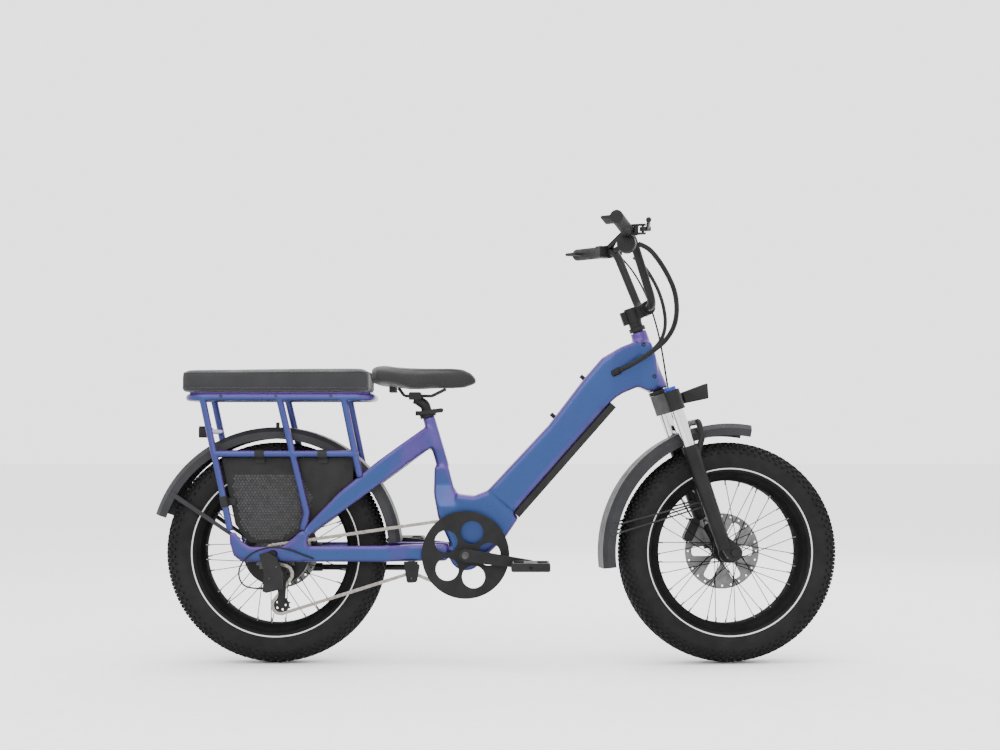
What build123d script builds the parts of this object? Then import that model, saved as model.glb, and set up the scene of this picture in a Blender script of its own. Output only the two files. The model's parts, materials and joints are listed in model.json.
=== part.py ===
"""A long-tail electric cargo bicycle with fat 20 inch wheels, built as separate pieces.

Everything is drawn in the wheelbase frame: X forward from the rear axle, Y to the rider's
left, Z up from the ground, in millimetres. Each finished piece is then moved by one shift,
so that the row's origin lies on the ground under the middle of the bicycle.
"""
import os
from math import acos, atan2, cos, hypot, pi, radians, sin, tan

from build123d import *

os.makedirs("parts", exist_ok=True)

# ---------------------------------------------------------------- driving dimensions
axle_to_centre = 591.0  # rear axle to the middle of the bicycle's length
run_gap = 0.3  # between curved or sliding faces of different bodies
pin_gap = 0.05  # radial clearance of a pin, shaft or axle that turns

# wheels
wheelbase = 1194.0
tyre_radius = 293.0
tyre_width = 100.0
bead_radius = 203.0
rim_outer_radius = 209.0
rim_inner_radius = 189.0
rim_width = 80.0
rear_old = 175.0  # over-locknut dimension, the room between the dropouts
front_old = 135.0
spoke_radius = 1.1
spoke_groups = 9
rotor_radius = 101.5
rotor_thickness = 2.0
rear_rotor_y = 60.0
front_rotor_y = 50.0
rotor_seat_radius = 22.0
motor_radius = 88.0
motor_half_width = 36.0
motor_flange_y = 30.0
freehub_radius = 15.0
freehub_face = 77.0
front_flange_radius = 29.0
front_flange_y = 30.0
axle_radius = 6.0
flange_thickness = 4.5

# frame
bb_x = 501.0
bb_z = 290.0
bb_shell_radius = 45.0
bb_bore_radius = 20.0
spindle_radius = 8.5
cradle_half_width = 38.0
head_angle = 71.1
steer_foot_x = 1158.4  # where the steering axis crosses the height of the axles
head_low = 453.4  # along the steering axis from that point
head_high = 619.4
head_top_radius = 22.0
head_foot_radius = 28.0
head_bore_radius = 17.0
boss_hole_radius = 2.5
boss_radius = 6.5
boss_half_width = 30.0
boss_heights = (492.0, 581.0)
tube_half_width = 42.0
bay_half_width = 33.0
bay_depth = 68.0
cover_depth = 18.0
seat_tube_slope = 16.4
seat_tube_radius = 17.0
seat_post_radius = 13.6
skewer_face_y = -18.5  # the clamp's outer face, which the lever's barrel rides on
lever_barrel_radius = 6.2
seat_tube_top = (400.0, 655.0)
stay_centre_y = 78.5
stay_thickness = 18.0
stay_front_y = 50.0
stay_front_thickness = 24.0
plate_thickness = 6.5

# rack
rack_y = 84.0
rack_tube_radius = 9.5
leg_tube_radius = 9.0
rack_rail_z = 701.5
rack_rear_x = -235.0
rack_front_x = 264.0
side_rail_z = 554.0

# fork, cockpit
fork_offset = 33.7
crown_offset = 14.0
stanchion_y = 82.0
stanchion_radius = 16.0
steerer_radius = 14.3
leg_radius = 21.0
crown_low = 389.0
crown_high = 442.6
leg_top = 291.0
fork_travel = 40.0
bar_radius = 11.1
clamp_radius = 12.7
grip_length = 130.0
grip_radius = 16.5
steer_at_rest = 6.0  # the bicycle is parked with its bar turned a little to the left

# fenders
fender_thickness = 2.5
fender_half_width = 57.0
rear_fender_radius = 331.0
front_fender_radius = 340.0

# drivetrain
chain_y = 72.0
chain_width = 7.0
chain_half_depth = 1.2  # a plain band along the chain's pitch line
chainring_teeth = 48
cassette_teeth = (11, 13, 15, 18, 21, 24, 28)
sprocket_spacing = 5.0
pulley_teeth = 11
chain_seat = 1.5  # a sprocket's disc stops this far inside its pitch line
chain_pitch = 12.7
crank_length = 170.0
crank_angle = -8.0
crank_inner_y = 84.0
crank_thickness = 14.0
pedal_pin_radius = 4.5
guard_outer_radius = 114.5
guide_pulley_at = (25.0, 240.0)
tension_pulley_at = (19.0, 159.0)
roller_at = (360.0, 229.0)
roller_radius = 12.0

ring_pitch_radius = chain_pitch / 2 / sin(pi / chainring_teeth)
sprocket_pitch_radius = chain_pitch / 2 / sin(pi / cassette_teeth[0])
pulley_pitch_radius = chain_pitch / 2 / sin(pi / pulley_teeth)

rear_axle_at = (0.0, tyre_radius)
front_axle_at = (wheelbase, tyre_radius)
bb_at = (bb_x, bb_z)

# ---------------------------------------------------------------- frames of reference
lean = radians(90 - head_angle)
steer_up = Vector(-sin(lean), 0, cos(lean))
steer_forward = Vector(cos(lean), 0, sin(lean))
steer_foot = Vector(steer_foot_x, 0, tyre_radius)
steering = Plane(origin=steer_foot, x_dir=steer_forward, z_dir=steer_up)

row_shift = Location((-axle_to_centre, 0, 0))
steer_turn = steering.location * Rotation(0, 0, steer_at_rest) * steering.location.inverse()


def save(builder, name, steered=False):
    """Label a finished piece, put it in the row's frame and write it."""
    place = row_shift * steer_turn if steered else row_shift
    piece = builder.part.moved(place)
    piece.label = name
    export_step(piece, f"parts/{name}.step")


def across(x, z, y=0.0):
    """A plane that looks along +Y at a point of the side view, with its x forward."""
    return Plane(origin=(x, y, z), x_dir=(1, 0, 0), z_dir=(0, -1, 0))


def steer_point(forward, side, up):
    """A point from its distances forward of, beside and up the steering axis."""
    return steer_foot + steer_forward * forward + Vector(0, side, 0) + steer_up * up


def disc(x, z, y_low, y_high, radius, bore=0.0):
    """A round slab or ring whose axis runs across the bicycle."""
    with BuildPart() as piece:
        with BuildSketch(across(x, z, y_high)):
            Circle(radius)
            if bore:
                Circle(bore, mode=Mode.SUBTRACT)
        extrude(amount=y_high - y_low)
    return piece.part


def rod(start, end, radius, bore=0.0):
    """A straight round bar, or a tube with a bore, from one point to another."""
    along = Vector(*end) - Vector(*start)
    with BuildPart() as piece:
        with BuildSketch(Plane(origin=start, z_dir=along)):
            Circle(radius)
            if bore:
                Circle(bore, mode=Mode.SUBTRACT)
        extrude(amount=along.length)
    return piece.part


def bent_tube(points, bends, radius, closed=False):
    """A round bar swept along straight runs joined by tangent arcs."""
    with BuildPart() as piece:
        with BuildLine() as route:
            FilletPolyline(*points, radius=bends, close=closed)
        with BuildSketch(Plane(origin=route.line @ 0, z_dir=route.line % 0)):
            Circle(radius)
        sweep()
    return piece.part


def plate(outline, y_low, y_high, corner=0.0):
    """A flat piece cut to an outline of the side view, with rounded corners."""
    with BuildPart() as piece:
        with BuildSketch(across(0, 0, y_high)) as face:
            with BuildLine():
                Polyline(*outline, close=True)
            make_face()
            if corner:
                fillet(face.vertices(), corner)
        extrude(amount=y_high - y_low)
    return piece.part


def block(low, high):
    """A rectangular block between two opposite corners."""
    size = [high[i] - low[i] for i in range(3)]
    with BuildPart() as piece:
        with Locations(Vector(*low)):
            Box(*size, align=(Align.MIN, Align.MIN, Align.MIN))
    return piece.part


def mirrored(part):
    """The same piece on the other side of the bicycle."""
    return mirror(part, about=Plane.XZ, mode=Mode.PRIVATE)


def hull_plate(rounds, y_low, y_high):
    """A flat link whose outline wraps two or more circles (x, z, radius) of the side view."""
    with BuildPart() as piece:
        with BuildSketch(across(0, 0, y_high)):
            for x, z, radius in rounds:
                with Locations((x, z)):
                    Circle(radius)
            make_hull()
        extrude(amount=y_high - y_low)
    return piece.part


def wheel_ring(axle, profile):
    """A ring turned about an axle from a closed outline of (y, radius) points."""
    plane = Plane(origin=(axle[0], 0, axle[1]), x_dir=(0, 1, 0), z_dir=(1, 0, 0))
    with BuildPart() as piece:
        with BuildSketch(plane):
            with BuildLine():
                Polyline(*profile, close=True)
            make_face()
        revolve(axis=Axis((axle[0], 0, axle[1]), (0, 1, 0)))
    return piece.part


# ---------------------------------------------------------------- wheels
def tyre_body(axle):
    """A fat balloon tyre with a hollow inside, whose beads seat between the rim flanges."""
    half = tyre_width / 2
    wall = 5.0
    bead_y = rim_width / 2 - flange_thickness - run_gap
    outside = [
        (bead_y, bead_radius),
        (bead_y, rim_outer_radius + 3),
        (half - 5, rim_outer_radius + 18),
        (half, tyre_radius - 42),
        (half - 3, tyre_radius - 22),
        (half - 12, tyre_radius - 9),
        (half - 28, tyre_radius - 2),
        (half - 40, tyre_radius),
    ]
    inside = [
        (half - 40, tyre_radius - 12),
        (half - 30, tyre_radius - 13),
        (half - 16, tyre_radius - 19),
        (half - 3 - wall, tyre_radius - 30),
        (half - wall, tyre_radius - 44),
        (half - 8 - wall, rim_outer_radius + 20),
        (bead_y - wall, bead_radius + 6),
        (bead_y - wall, bead_radius),
    ]
    mirrored_inside = [(-y, radius) for y, radius in reversed(inside)]
    mirrored_outside = [(-y, radius) for y, radius in reversed(outside)]
    return wheel_ring(axle, outside + mirrored_outside + mirrored_inside + inside)


def rim_body(axle):
    """A wide box-section rim with two bead flanges."""
    half = rim_width / 2
    seat = bead_radius - run_gap
    outline = [
        (half, rim_outer_radius),
        (half, seat - 4),
        (24, rim_inner_radius),
        (-24, rim_inner_radius),
        (-half, seat - 4),
        (-half, rim_outer_radius),
        (-half + flange_thickness, rim_outer_radius),
        (-half + flange_thickness, seat),
        (-24, rim_inner_radius + 6),
        (24, rim_inner_radius + 6),
        (half - flange_thickness, seat),
        (half - flange_thickness, rim_outer_radius),
    ]
    return wheel_ring(axle, outline)


def spoke_set(axle, flange_radius, flange_y, lace_angle):
    """Crossed spokes from both hub flanges to the rim, the crossing ones a little apart."""
    spread = 360 / spoke_groups
    rim_y = 15.0
    seat = spoke_radius + 0.6
    reach = rim_inner_radius * cos(radians(lace_angle)) - flange_radius
    tilt = atan2(rim_inner_radius * sin(radians(lace_angle)), reach)
    hub_reach = flange_radius + 0.2 + spoke_radius * sin(tilt)
    turning = Axis((axle[0], 0, axle[1]), (0, 1, 0))
    found = []
    for side, phase in ((-1, 0.0), (1, spread / 4)):
        for way in (-1, 1):
            hub_angle = radians(phase + way * spread / 8)
            rim_angle = radians(phase + way * (lace_angle + spread / 8))
            low = (
                axle[0] + hub_reach * cos(hub_angle),
                side * (flange_y + way * seat),
                axle[1] + hub_reach * sin(hub_angle),
            )
            high = (
                axle[0] + (rim_inner_radius - run_gap) * cos(rim_angle),
                side * (rim_y + way * seat),
                axle[1] + (rim_inner_radius - run_gap) * sin(rim_angle),
            )
            spoke = rod(low, high, spoke_radius)
            found += [spoke.rotate(turning, turn * spread) for turn in range(spoke_groups)]
    return found


def rotor_body(axle, y, carrier_radius):
    """A vented brake disc with six wide windows and a ring of small holes."""
    arm_room = (rotor_radius - 18) - (carrier_radius + 6)
    with BuildPart() as piece:
        with BuildSketch(across(axle[0], axle[1], y + rotor_thickness)):
            Circle(rotor_radius)
            Circle(carrier_radius + pin_gap, mode=Mode.SUBTRACT)
            with PolarLocations(carrier_radius + 6 + arm_room / 2, 6):
                RectangleRounded(arm_room, 26, 9, mode=Mode.SUBTRACT)
            with PolarLocations(rotor_radius - 8, 24):
                Circle(2.6, mode=Mode.SUBTRACT)
        extrude(amount=rotor_thickness)
    return piece.part


for end, axle, turned in (("rear", rear_axle_at, False), ("front", front_axle_at, True)):
    with BuildPart() as tyre:
        add(tyre_body(axle))
    save(tyre, f"{end}_tyre", turned)

    with BuildPart() as rim:
        add(rim_body(axle))
        if end == "rear":
            add(spoke_set(axle, motor_radius, motor_flange_y, 9.0))
        else:
            add(spoke_set(axle, front_flange_radius, front_flange_y, 47.0))
    save(rim, f"{end}_rim", turned)

hub_face = rear_old / 2 - run_gap
with BuildPart() as hub_motor:
    add(disc(*rear_axle_at, -motor_half_width, motor_half_width, motor_radius))
    add(disc(*rear_axle_at, -freehub_face, -motor_half_width, freehub_radius))
    add(disc(*rear_axle_at, -hub_face, -freehub_face, 9.5))
    add(disc(*rear_axle_at, motor_half_width, rear_rotor_y + 4, rotor_seat_radius))
    add(disc(*rear_axle_at, rear_rotor_y + 4, hub_face, 9.5))
    add(disc(*rear_axle_at, -hub_face, hub_face, axle_radius + pin_gap), mode=Mode.SUBTRACT)
    fillet(hub_motor.edges().filter_by(GeomType.CIRCLE).sort_by(SortBy.RADIUS)[-2:], 10)
    add(rotor_body(rear_axle_at, rear_rotor_y, rotor_seat_radius))
save(hub_motor, "hub_motor")

front_hub_face = front_old / 2 - run_gap
with BuildPart() as front_hub:
    add(disc(*front_axle_at, -front_hub_face, front_hub_face, 10))
    add(disc(*front_axle_at, -front_flange_y - 6, front_flange_y + 6, 17))
    add(disc(*front_axle_at, front_flange_y + 6, front_rotor_y + 4, rotor_seat_radius))
    for side in (-1, 1):
        low = side * front_flange_y - 3.5
        add(disc(*front_axle_at, low, low + 7, front_flange_radius))
    add(disc(*front_axle_at, -front_hub_face, front_hub_face, axle_radius + pin_gap), mode=Mode.SUBTRACT)
    add(rotor_body(front_axle_at, front_rotor_y, rotor_seat_radius))
save(front_hub, "front_hub", True)

with BuildPart() as cassette:
    for number, teeth in enumerate(cassette_teeth):
        y = -chain_y + number * sprocket_spacing
        radius = chain_pitch / 2 / sin(pi / teeth) - chain_seat
        add(disc(*rear_axle_at, y - 1, y + 1, radius, freehub_radius + pin_gap))
    inner_y = -chain_y + (len(cassette_teeth) - 1) * sprocket_spacing
    add(disc(*rear_axle_at, -chain_y - 1, inner_y + 1, freehub_radius + 3, freehub_radius + pin_gap))
save(cassette, "cassette")

with BuildPart() as rear_axle:
    end_y = rear_old / 2 + plate_thickness
    add(disc(*rear_axle_at, -end_y - 10, end_y + 20, axle_radius))
    for low in (-end_y - 8, end_y):
        add(disc(*rear_axle_at, low, low + 8, 9.5))
save(rear_axle, "rear_axle")

# ---------------------------------------------------------------- frame: front
head_length = head_high - head_low

with BuildPart() as head_envelope:
    with BuildSketch(steering.offset(head_low)):
        Circle(head_foot_radius)
    with BuildSketch(steering.offset(head_low + 45)):
        Circle(head_top_radius + 2)
    with BuildSketch(steering.offset(head_high)):
        Circle(head_top_radius)
    loft(ruled=True)

with BuildPart() as head_tube:
    add(head_envelope.part)
    for height in boss_heights:
        at = steer_point(0, 0, height)
        add(disc(at.X, at.Z, -boss_half_width, boss_half_width, boss_radius))
    with BuildSketch(steering.offset(head_low)):
        Circle(head_bore_radius)
    extrude(amount=head_length, mode=Mode.SUBTRACT)
    for height in boss_heights:
        at = steer_point(0, 0, height)
        add(disc(at.X, at.Z, -boss_half_width, boss_half_width, boss_hole_radius), mode=Mode.SUBTRACT)
save(head_tube, "head_tube")

# the down tube's lower edge, along which the battery lies
bay_foot = Vector(627, 0, 396)
bay_head = Vector(885, 0, 690)
bay_along = (bay_head - bay_foot).normalized()
bay_out = Vector(bay_along.Z, 0, -bay_along.X)
bay_length = (bay_head - bay_foot).length
bay_plane = Plane(origin=bay_foot, x_dir=bay_along, z_dir=(0, -1, 0))
tube_depth = 92.0
tube_foot_top = bay_foot - bay_out * tube_depth

with BuildPart() as down_tube:
    outline = [
        (tube_foot_top.X, tube_foot_top.Z),
        (719, 629),
        (812, 751),
        (861, 808),
        (909, 836),
        (945, 850),
        (1000, 850),
        (1012, 735),
        (984, 719),
        (958, 731),
        (917, 714),
        (898, 702),
        (bay_head.X, bay_head.Z),
        (bay_foot.X, bay_foot.Z),
    ]
    add(plate(outline, -tube_half_width, tube_half_width))
    sides = down_tube.faces().filter_by(Axis.Y)
    fillet(sides.edges(), 11)
    with BuildSketch(Plane.XY.offset(300)):
        with BuildLine():
            Polyline((500, 0), (500, tube_half_width), (885, tube_half_width))
            Polyline((885, tube_half_width), (965, boss_half_width - 1), (1020, boss_half_width - 1), (1020, 0))
            mirror(about=Plane.XZ)
        make_face()
    extrude(amount=600, mode=Mode.INTERSECT)
    add(head_envelope.part, mode=Mode.SUBTRACT)
    for height in boss_heights:
        at = steer_point(0, 0, height)
        reach = tube_half_width + 1
        add(disc(at.X, at.Z, -reach, reach, boss_radius + 2), mode=Mode.SUBTRACT)
    with BuildSketch(steering.offset(head_low - 60)):
        Circle(head_bore_radius)
    extrude(amount=head_length + 120, mode=Mode.SUBTRACT)
    front_cut = steer_point(head_foot_radius - 6, 0, head_low)
    split(bisect_by=Plane(origin=front_cut, z_dir=steer_forward), keep=Keep.BOTTOM)
    with BuildSketch(bay_plane.offset(-bay_half_width)):
        with Locations((bay_length / 2, 0)):
            Rectangle(bay_length - 46, 2 * bay_depth)
    extrude(amount=2 * bay_half_width, mode=Mode.SUBTRACT)
save(down_tube, "down_tube")

with BuildPart() as battery:
    with BuildSketch(bay_plane.offset(-bay_half_width + run_gap)):
        with Locations((bay_length / 2, bay_depth / 2)):
            Rectangle(bay_length - 46 - 2 * run_gap, bay_depth - 2 * run_gap)
    extrude(amount=2 * (bay_half_width - run_gap))
    with BuildSketch(bay_plane.offset(-tube_half_width + 3)):
        with Locations((bay_length / 2, -cover_depth / 2 - run_gap / 2)):
            Rectangle(bay_length - 4, cover_depth - run_gap)
    extrude(amount=2 * (tube_half_width - 3))
    with BuildSketch(bay_plane.offset(-bay_half_width + run_gap)):
        with Locations((bay_length / 2, 0)):
            Rectangle(bay_length - 46 - 2 * run_gap, 4)
    extrude(amount=2 * (bay_half_width - run_gap))
save(battery, "battery")

# ---------------------------------------------------------------- frame: middle
seat_slope = radians(seat_tube_slope)
post_up = Vector(-sin(seat_slope), 0, cos(seat_slope))
tube_top = Vector(seat_tube_top[0], 0, seat_tube_top[1])
post_bore_depth = 170.0

with BuildPart() as cradle:
    cover_corner = bay_foot + bay_out * cover_depth
    outline = [
        (417, 520),
        (415, 450),
        (427, 384),
        (452, 330),
        (bb_x - 18, bb_z - 34),
        (bb_x + 30, bb_z - 30),
        (607, 334),
        (cover_corner.X, cover_corner.Z),
        (bay_foot.X, bay_foot.Z),
        (tube_foot_top.X, tube_foot_top.Z),
        (523, 443),
        (480, 448),
        (468, 466),
        (454, 520),
    ]
    add(plate(outline, -cradle_half_width, cradle_half_width))
    fillet(cradle.faces().filter_by(Axis.Y).edges(), 10)
    add(disc(*bb_at, -cradle_half_width, cradle_half_width, bb_shell_radius))
    with BuildSketch(Plane.YZ.offset(380)):
        with BuildLine():
            Polyline((-19, 530), (-19, 470), (-cradle_half_width, 415), (-cradle_half_width, 220))
            Polyline((-cradle_half_width, 220), (-80, 220), (-80, 530), (-19, 530))
        make_face()
        mirror(about=Plane.YZ)
    extrude(amount=96, mode=Mode.SUBTRACT)
    add(disc(*bb_at, -80, 80, bb_bore_radius), mode=Mode.SUBTRACT)
    post_foot = tube_top - post_up * post_bore_depth
    add(rod(post_foot, tube_top, seat_post_radius + pin_gap), mode=Mode.SUBTRACT)
save(cradle, "cradle")

with BuildPart() as seat_tube:
    add(rod(tube_top - post_up * 150, tube_top, seat_tube_radius, seat_post_radius + pin_gap))
    split(bisect_by=Plane.XY.offset(520), keep=Keep.TOP)
save(seat_tube, "seat_tube")

with BuildPart() as bottom_bracket:
    add(disc(*bb_at, -cradle_half_width, cradle_half_width, bb_bore_radius - pin_gap, spindle_radius + pin_gap))
    for side in (-1, 1):
        low = side * (cradle_half_width + 2) - 2
        add(disc(*bb_at, low, low + 4, bb_bore_radius + 3, spindle_radius + pin_gap))
save(bottom_bracket, "bottom_bracket")

# ---------------------------------------------------------------- frame: stays and dropouts
stay_inner = stay_centre_y - stay_thickness / 2
stay_outer = stay_centre_y + stay_thickness / 2

with BuildPart() as seat_stay:
    outline = [
        (396, 627),
        (271, 535),
        (170, 453),
        (68, 348),
        (84, 332),
        (97, 344),
        (187, 408),
        (271, 470),
        (420, 578),
    ]
    add(plate(outline, 0, stay_outer + 4))
    with BuildSketch(Plane.XY.offset(200)):
        with BuildLine():
            Polyline(
                (50, stay_outer),
                (296, stay_outer),
                (338, stay_outer - 14),
                (396, 24),
                (430, 17),
                (430, 0),
                (388, 0),
                (330, stay_inner - 12),
                (286, stay_inner),
                (50, stay_inner),
                close=True,
            )
        make_face()
    extrude(amount=500, mode=Mode.INTERSECT)
    add(rod(tube_top - post_up * 160, tube_top, seat_tube_radius), mode=Mode.SUBTRACT)

with BuildPart() as seat_stays:
    add(seat_stay.part)
    add(mirrored(seat_stay.part))
save(seat_stays, "seat_stays")

stay_low_z = 272.0
stay_high_z = 316.0
with BuildPart() as chain_stay:
    outline = [(58, stay_low_z), (58, stay_high_z - 2), (455, stay_high_z), (455, stay_low_z)]
    add(plate(outline, 0, stay_outer + 4, 9))
    with BuildSketch(Plane.XY.offset(200)):
        front_outer = stay_front_y + stay_front_thickness / 2
        with BuildLine():
            Polyline(
                (50, stay_outer),
                (298, stay_outer),
                (352, front_outer + 2),
                (378, front_outer),
                (458, front_outer - 8),
                (458, cradle_half_width),
                (385, cradle_half_width - 2),
                (352, cradle_half_width + 2),
                (300, stay_inner),
                (50, stay_inner),
                close=True,
            )
        make_face()
    extrude(amount=200, mode=Mode.INTERSECT)
    add(cradle.part, mode=Mode.SUBTRACT)

with BuildPart() as chain_stays:
    add(chain_stay.part)
    add(mirrored(chain_stay.part))
save(chain_stays, "chain_stays")

plate_inner = rear_old / 2
plate_outer = plate_inner + plate_thickness
with BuildPart() as dropout_plates:
    outline = [
        (-115, 326),
        (-104, 288),
        (-81, 271),
        (72, 271),
        (88, 300),
        (92, 338),
        (78, 356),
        (66, 350),
        (27, 316),
        (-59, 314),
        (-78, 326),
        (-98, 353),
        (-116, 353),
    ]
    add(plate(outline, plate_inner, plate_outer, 4))
    add(disc(*rear_axle_at, plate_inner, plate_outer, axle_radius + pin_gap), mode=Mode.SUBTRACT)
    add(mirrored(dropout_plates.part))
save(dropout_plates, "dropout_plates")

# ---------------------------------------------------------------- rack
rail_rear = rack_rear_x + rack_tube_radius
rail_front = rack_front_x - rack_tube_radius
rear_leg = [(-181, 681), (-112, 354)]
middle_leg = [(20, 681), (87, 400), (76, 356)]
front_leg = [(187, 681), (212, 559), (226, 494)]


def leg_bar(points):
    """A rack leg on the drive side, run up into the rail above it."""
    top, below = points[0], points[1]
    rise = rack_rail_z - top[1]
    lean_in = (top[0] - below[0]) / (top[1] - below[1])
    reached = [(top[0] + lean_in * rise, rack_rail_z)] + points[1:]
    route = [(x, -rack_y, z) for x, z in reached]
    if len(route) == 2:
        return rod(*route, leg_tube_radius)
    return bent_tube(route, 22, leg_tube_radius)


def leg_x(points, z):
    """Where a leg's centre line is at a height."""
    (top_x, top_z), (low_x, low_z) = points[0], points[1]
    return low_x + (top_x - low_x) * (z - low_z) / (top_z - low_z)


rail_half = 0.5 * (rail_rear + rail_front)
with BuildPart() as rack_rail:
    for start_x, end_x in ((rail_half, rail_rear), (rail_half, rail_front)):
        half_loop = [
            (start_x, -rack_y, rack_rail_z),
            (end_x, -rack_y, rack_rail_z),
            (end_x, rack_y, rack_rail_z),
            (start_x, rack_y, rack_rail_z),
        ]
        add(bent_tube(half_loop, 42, rack_tube_radius))

lamp_bar_z = 612.0
lamp_bar_x = leg_x(rear_leg, lamp_bar_z)
deck_top_z = rack_rail_z + rack_tube_radius + 4.8
with BuildPart() as rack_legs:
    for leg in (rear_leg, middle_leg, front_leg):
        add(leg_bar(leg))
    add(rack_rail.part, mode=Mode.SUBTRACT)
    add(seat_stay.part.mirror(Plane.XZ), mode=Mode.SUBTRACT)
    add(seat_stay.part, mode=Mode.SUBTRACT)
    add(dropout_plates.part, mode=Mode.SUBTRACT)
    add(mirrored(rack_legs.part))

with BuildPart() as rack_bars:
    for x in (-150, -20, 110, 220):
        add(rod((x, -rack_y, rack_rail_z), (x, rack_y, rack_rail_z), 6.5))
    rear_x = leg_x(rear_leg, side_rail_z)
    front_x = leg_x(front_leg, side_rail_z)
    for y in (-rack_y, rack_y):
        add(rod((rear_x, y, side_rail_z), (front_x + 2, y, side_rail_z), leg_tube_radius))
    add(rod((lamp_bar_x, -rack_y, lamp_bar_z), (lamp_bar_x, rack_y, lamp_bar_z), 6.5))
    add(rack_rail.part, mode=Mode.SUBTRACT)
    add(rack_legs.part, mode=Mode.SUBTRACT)

with BuildPart() as rack_deck:
    top_z = deck_top_z
    low_z = rack_rail_z + rack_tube_radius + 0.1
    add(block((rack_rear_x + 12, -rack_y + 6, low_z), (rack_front_x - 12, rack_y - 6, top_z)))
    fillet(rack_deck.edges().filter_by(Axis.Z), 20)

with BuildPart() as rack_frame:
    add(rack_rail.part)
    add(rack_legs.part)
    add(rack_bars.part)
    add(rack_deck.part)
save(rack_frame, "rack_frame")

pad_half_width = 95.0
with BuildPart() as rack_pad:
    outline = [(-244, deck_top_z), (262, deck_top_z), (250, 776), (-244, 770)]
    add(plate(outline, -pad_half_width, pad_half_width, 9))
    fillet(rack_pad.faces().filter_by(Axis.Y).edges(), 8)
save(rack_pad, "rack_pad")

# ---------------------------------------------------------------- fenders, lamp, guards
def fender_shell(axle, radius, first_angle, last_angle, skirt):
    """A channel bent round the wheel, from one angle to another above the forward level."""
    plane = Plane(origin=(axle[0], 0, axle[1]), x_dir=(0, 1, 0), z_dir=(1, 0, 0))
    half, wall = fender_half_width, fender_thickness
    with BuildPart() as piece:
        with BuildSketch(plane):
            with BuildLine():
                Polyline(
                    (-half, radius - skirt),
                    (-half, radius - 12),
                    (-half + 14, radius),
                    (half - 14, radius),
                    (half, radius - 12),
                    (half, radius - skirt),
                    (half - wall, radius - skirt),
                    (half - wall, radius - 12 - wall / 2),
                    (half - 14 - wall / 2, radius - wall),
                    (-half + 14 + wall / 2, radius - wall),
                    (-half + wall, radius - 12 - wall / 2),
                    (-half + wall, radius - skirt),
                    close=True,
                )
            make_face()
        turning = Axis((axle[0], 0, axle[1]), (0, -1, 0))
        revolve(axis=turning, revolution_arc=last_angle - first_angle)
    return piece.part.rotate(turning, first_angle - 90)


def fender_spot(axle, radius, angle):
    """A point of the middle plane at a radius and an angle above the forward level."""
    return axle[0] + radius * cos(radians(angle)), axle[1] + radius * sin(radians(angle))


with BuildPart() as rear_fender:
    add(fender_shell(rear_axle_at, rear_fender_radius, 5, 162, 31))
    for y in (-1, 1):
        start = fender_spot(rear_axle_at, rear_fender_radius - 22, 150)
        low = min(y * fender_half_width, y * (fender_half_width + 3))
        add(hull_plate([(*start, 6), (-100, 334, 5)], low, low + 3))
        near = min(y * (fender_half_width + 3), y * plate_inner)
        add(disc(-100, 334, near, near + plate_inner - fender_half_width - 3, 5))
    top = fender_spot(rear_axle_at, rear_fender_radius, 90)
    add(rod((0, 0, top[1] - 1), (0, 0, side_rail_z + 83), 5))
save(rear_fender, "rear_fender")

with BuildPart() as front_fender:
    add(fender_shell(front_axle_at, front_fender_radius, 80, 187, 32))
    for side in (-1, 1):
        for angle in (167.0, 171.5):
            low = side * (fender_half_width + 2)
            start = fender_spot(front_axle_at, front_fender_radius - 20, angle)
            leg_spot = steer_point(crown_offset - 6, 0, 140 - (angle - 167) * 3)
            add(rod((start[0], low, start[1]), (leg_spot.X, side * 60.6, leg_spot.Z), 2.2))
            near = min(side * (fender_half_width - 1), side * (fender_half_width + 4))
            add(disc(*start, near, near + 5, 4))
save(front_fender, "front_fender", True)

with BuildPart() as tail_light:
    add(block((-206, -24, 596), (-184, 24, 627)))
    fillet(tail_light.edges().filter_by(Axis.X), 8)
    add(block((-184, -9, 602), (lamp_bar_x - 6.4, 9, 622)))
    add(rack_bars.part, mode=Mode.SUBTRACT)
save(tail_light, "tail_light")

panel_y = 65.0
panel_thickness = 2.5
with BuildPart() as wheel_guards:
    outline = [
        (-137, 543),
        (-102, 370),
        (-75, 333),
        (-62, 321),
        (28, 321),
        (78, 358),
        (170, 441),
        (206, 474),
        (208, 543),
    ]
    add(plate(outline, -panel_y - panel_thickness, -panel_y, 5))
    band_inner, band_outer = leg_tube_radius + 0.2, leg_tube_radius + 2.4
    for x in (-48, 116):
        ring = rod((x, -rack_y, side_rail_z), (x + 24, -rack_y, side_rail_z), band_outer, band_inner)
        add(ring)
        add(block((x, -rack_y + band_inner + 0.6, 530), (x + 24, -panel_y - panel_thickness, side_rail_z)))
    for low_z, high_z in ((415, 443),):
        low = (leg_x(rear_leg, low_z), -rack_y, low_z)
        high = (leg_x(rear_leg, high_z), -rack_y, high_z)
        add(rod(low, high, band_outer, band_inner))
        add(block((low[0] + 3, -rack_y + 6, low_z + 4), (low[0] + 26, -panel_y - panel_thickness, high_z - 4)))
    add(block((146, -stay_inner + 0.1, 436), (176, -panel_y - panel_thickness, 466)))
    add(rack_bars.part, mode=Mode.SUBTRACT)
    add(rack_legs.part, mode=Mode.SUBTRACT)
    add(mirrored(wheel_guards.part))
save(wheel_guards, "wheel_guards")

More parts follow.
